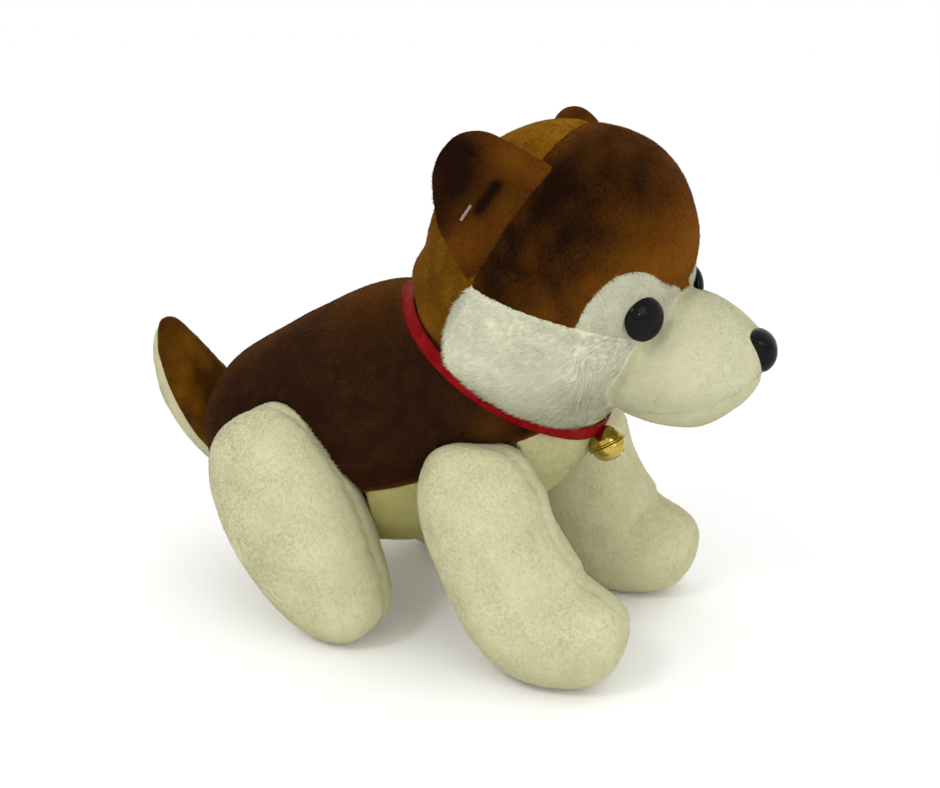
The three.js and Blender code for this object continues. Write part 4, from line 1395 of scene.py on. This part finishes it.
SLOT_REACH, SLOT_HALF_WIDTH, SLOT_END_RADIUS, SLOT_TOP, SLOT_BOTTOM = 4.2, 0.7, 1.5, 2, 10
end_profile = [(SLOT_END_RADIUS, SLOT_TOP), (SLOT_END_RADIUS, SLOT_BOTTOM)]
slot_ends, corners = [], []
for along in (-SLOT_REACH, SLOT_REACH):
    middle = BELL_CENTRE + slot_x * along
    slot_ends.append(revolve(end_profile, 32, middle, -bell_up))
    for across in (-SLOT_HALF_WIDTH, SLOT_HALF_WIDTH):
        for down in (SLOT_TOP, SLOT_BOTTOM):
            corners.append(middle + slot_y * across - bell_up * down)
sides = [(0, 1, 3, 2), (4, 6, 7, 5), (0, 4, 5, 1), (2, 3, 7, 6), (0, 2, 6, 4), (1, 5, 7, 3)]
slab = (np.array(corners), sides)
for k, shape in enumerate([*slot_ends, slab]):
    tool = cutter(f"slot_{k}", shape)
    boolean = lower.modifiers.new("slot", "BOOLEAN")
    boolean.operation = "DIFFERENCE"
    boolean.object = tool
    bpy.context.view_layer.update()
    made = bpy.data.meshes.new_from_object(lower.evaluated_get(bpy.context.evaluated_depsgraph_get()))
    lower.modifiers.clear()
    lower.data = made
    bpy.data.objects.remove(tool)
shaded_smooth(lower.data, 45)


# ------------------------------------------------------------------ stuffing and washers


def fibre(name):
    """Polyester fibre fill: cloudy white with fine strands."""
    look = Look(name)
    cloud, strands = look.noise(120.0, 5.0, 0.65), look.noise(1800.0, 3.0, 0.7)
    look.coloured(cloud, srgb(206, 206, 200), srgb(244, 244, 240))
    look.bumped(strands, 0.8, 0.0008)
    look.set(Roughness=1)
    return look.material


fill_material = fibre("fibre_fill")


def stuffed(node, points, triangles, inset, joint, seed, shaped=None):
    """A lumpy body of fibre fill inside a skin."""
    points = points - normals_of(points, triangles) * inset
    points = points + normals_of(points, triangles) * (0.4 * ripple(points, 12, seed))[:, None]
    points = shaped(points) if shaped else points
    soft_piece("fibre", node, points, triangles, fill_material, joint)


FILL_CELL, FILL_INSET = 4.0, 3.6
for kind, (stations, roundness) in LEGS.items():
    points, triangles = fused([loft(stations, roundness)], FILL_CELL)
    points[:, 2] = np.maximum(points[:, 2], FLOOR_Z + 1)
    right, left = leg_joint(kind, "right"), leg_joint(kind, "left")
    stuffed(f"{kind}_stuffing_right", points, triangles, FILL_INSET, right, 800)
    stuffed(f"{kind}_stuffing_left", mirrored(points), triangles[:, ::-1], FILL_INSET, left, 801)
stuffed("tail_stuffing", *fused([loft(TAIL, 0.6)], 3.0), FILL_INSET, tail_joint, 802)


def neck_dished(points, radius, wide, above):
    """Points kept above, or below, a ball about the head's centre, as seen along the neck."""
    off = points - HEAD_CENTRE
    down = off @ NECK_DOWN
    aside = off - down[:, None] * NECK_DOWN
    out = np.linalg.norm(aside, axis=1)
    ball = np.sqrt(np.maximum(radius**2 - out**2, 0))
    kept = np.minimum(down, ball) if above else np.maximum(down, ball)
    down = np.where(out < wide, kept, down)
    return HEAD_CENTRE + aside + down[:, None] * NECK_DOWN


def socketed(points):
    """The torso's stuffing, hollowed for the head's lower end."""
    return neck_dished(points, SOCKET + 3, SOCKET, False)


def clear_of_wad(points):
    """The head's stuffing, flat above the wad in its neck."""
    return neck_dished(points, 48, 40, True)


points, triangles = fused([loft(TORSO, 0.6)], FILL_CELL)
points = clear_of_legs(points, triangles, 1.0)
stuffed("torso_stuffing", points, triangles, FILL_INSET, Joint("torso"), 803, socketed)
points, triangles = fused([cranium, muzzle, neck], FILL_CELL)
stuffed("head_stuffing", points, triangles, FILL_INSET, Joint("head"), 804, clear_of_wad)
wad = [(3, 50.6), (14, 50.8), (24, 51.2), (26.5, 52.4), (26.5, 56), (24, 57.6), (14, 58), (3, 58.2)]
wad_points, wad_faces = revolve(wad, 48, HEAD_CENTRE, NECK_DOWN)
stuffed("neck_stuffing", wad_points, triangles_of(wad_faces), 0.0, Joint("neck"), 805)

washer_material = glossy_plastic("washer_plastic", srgb(214, 214, 206), 0.45, 400.0)
steel = brass("pellet_steel", srgb(170, 170, 172), 0.35)
finishes = {"eye_washer_right": washer_material, "eye_washer_left": washer_material}
finishes |= {"nose_washer": washer_material, "bell_pellet": steel}
for name, finish in finishes.items():
    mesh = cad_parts[name].data
    mesh.materials.clear()
    mesh.materials.append(finish)


# ------------------------------------------------------------------ floor and light

floor_mesh = bpy.data.meshes.new("floor")
floor_mesh.from_pydata([(-4, -4, 0), (4, -4, 0), (4, 4, 0), (-4, 4, 0)], [], [(0, 1, 2, 3)])
paper = Look("paper")
paper.set(Base_Color=(1, 1, 1, 1), Roughness=0.9)
floor = add_object("floor", floor_mesh, paper.material)
floor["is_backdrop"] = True

world = bpy.data.worlds.new("studio")
world.use_nodes = True
world.node_tree.nodes["Background"].inputs["Color"].default_value = (1, 1, 1, 1)
world.node_tree.nodes["Background"].inputs["Strength"].default_value = 1.0
bpy.context.scene.world = world
soft_light("key", (-0.25, -1.0, 1.1), 0.3, 4, (1, 0.99, 0.96))
soft_light("fill", (1.1, -0.6, 0.6), 0.6, 2.4, (0.98, 0.99, 1))
soft_light("glint", (0.95, -0.78, 0.4), 0.05, 0.9, (1, 1, 1))
bpy.context.scene.view_settings.view_transform = "Standard"

low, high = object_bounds()
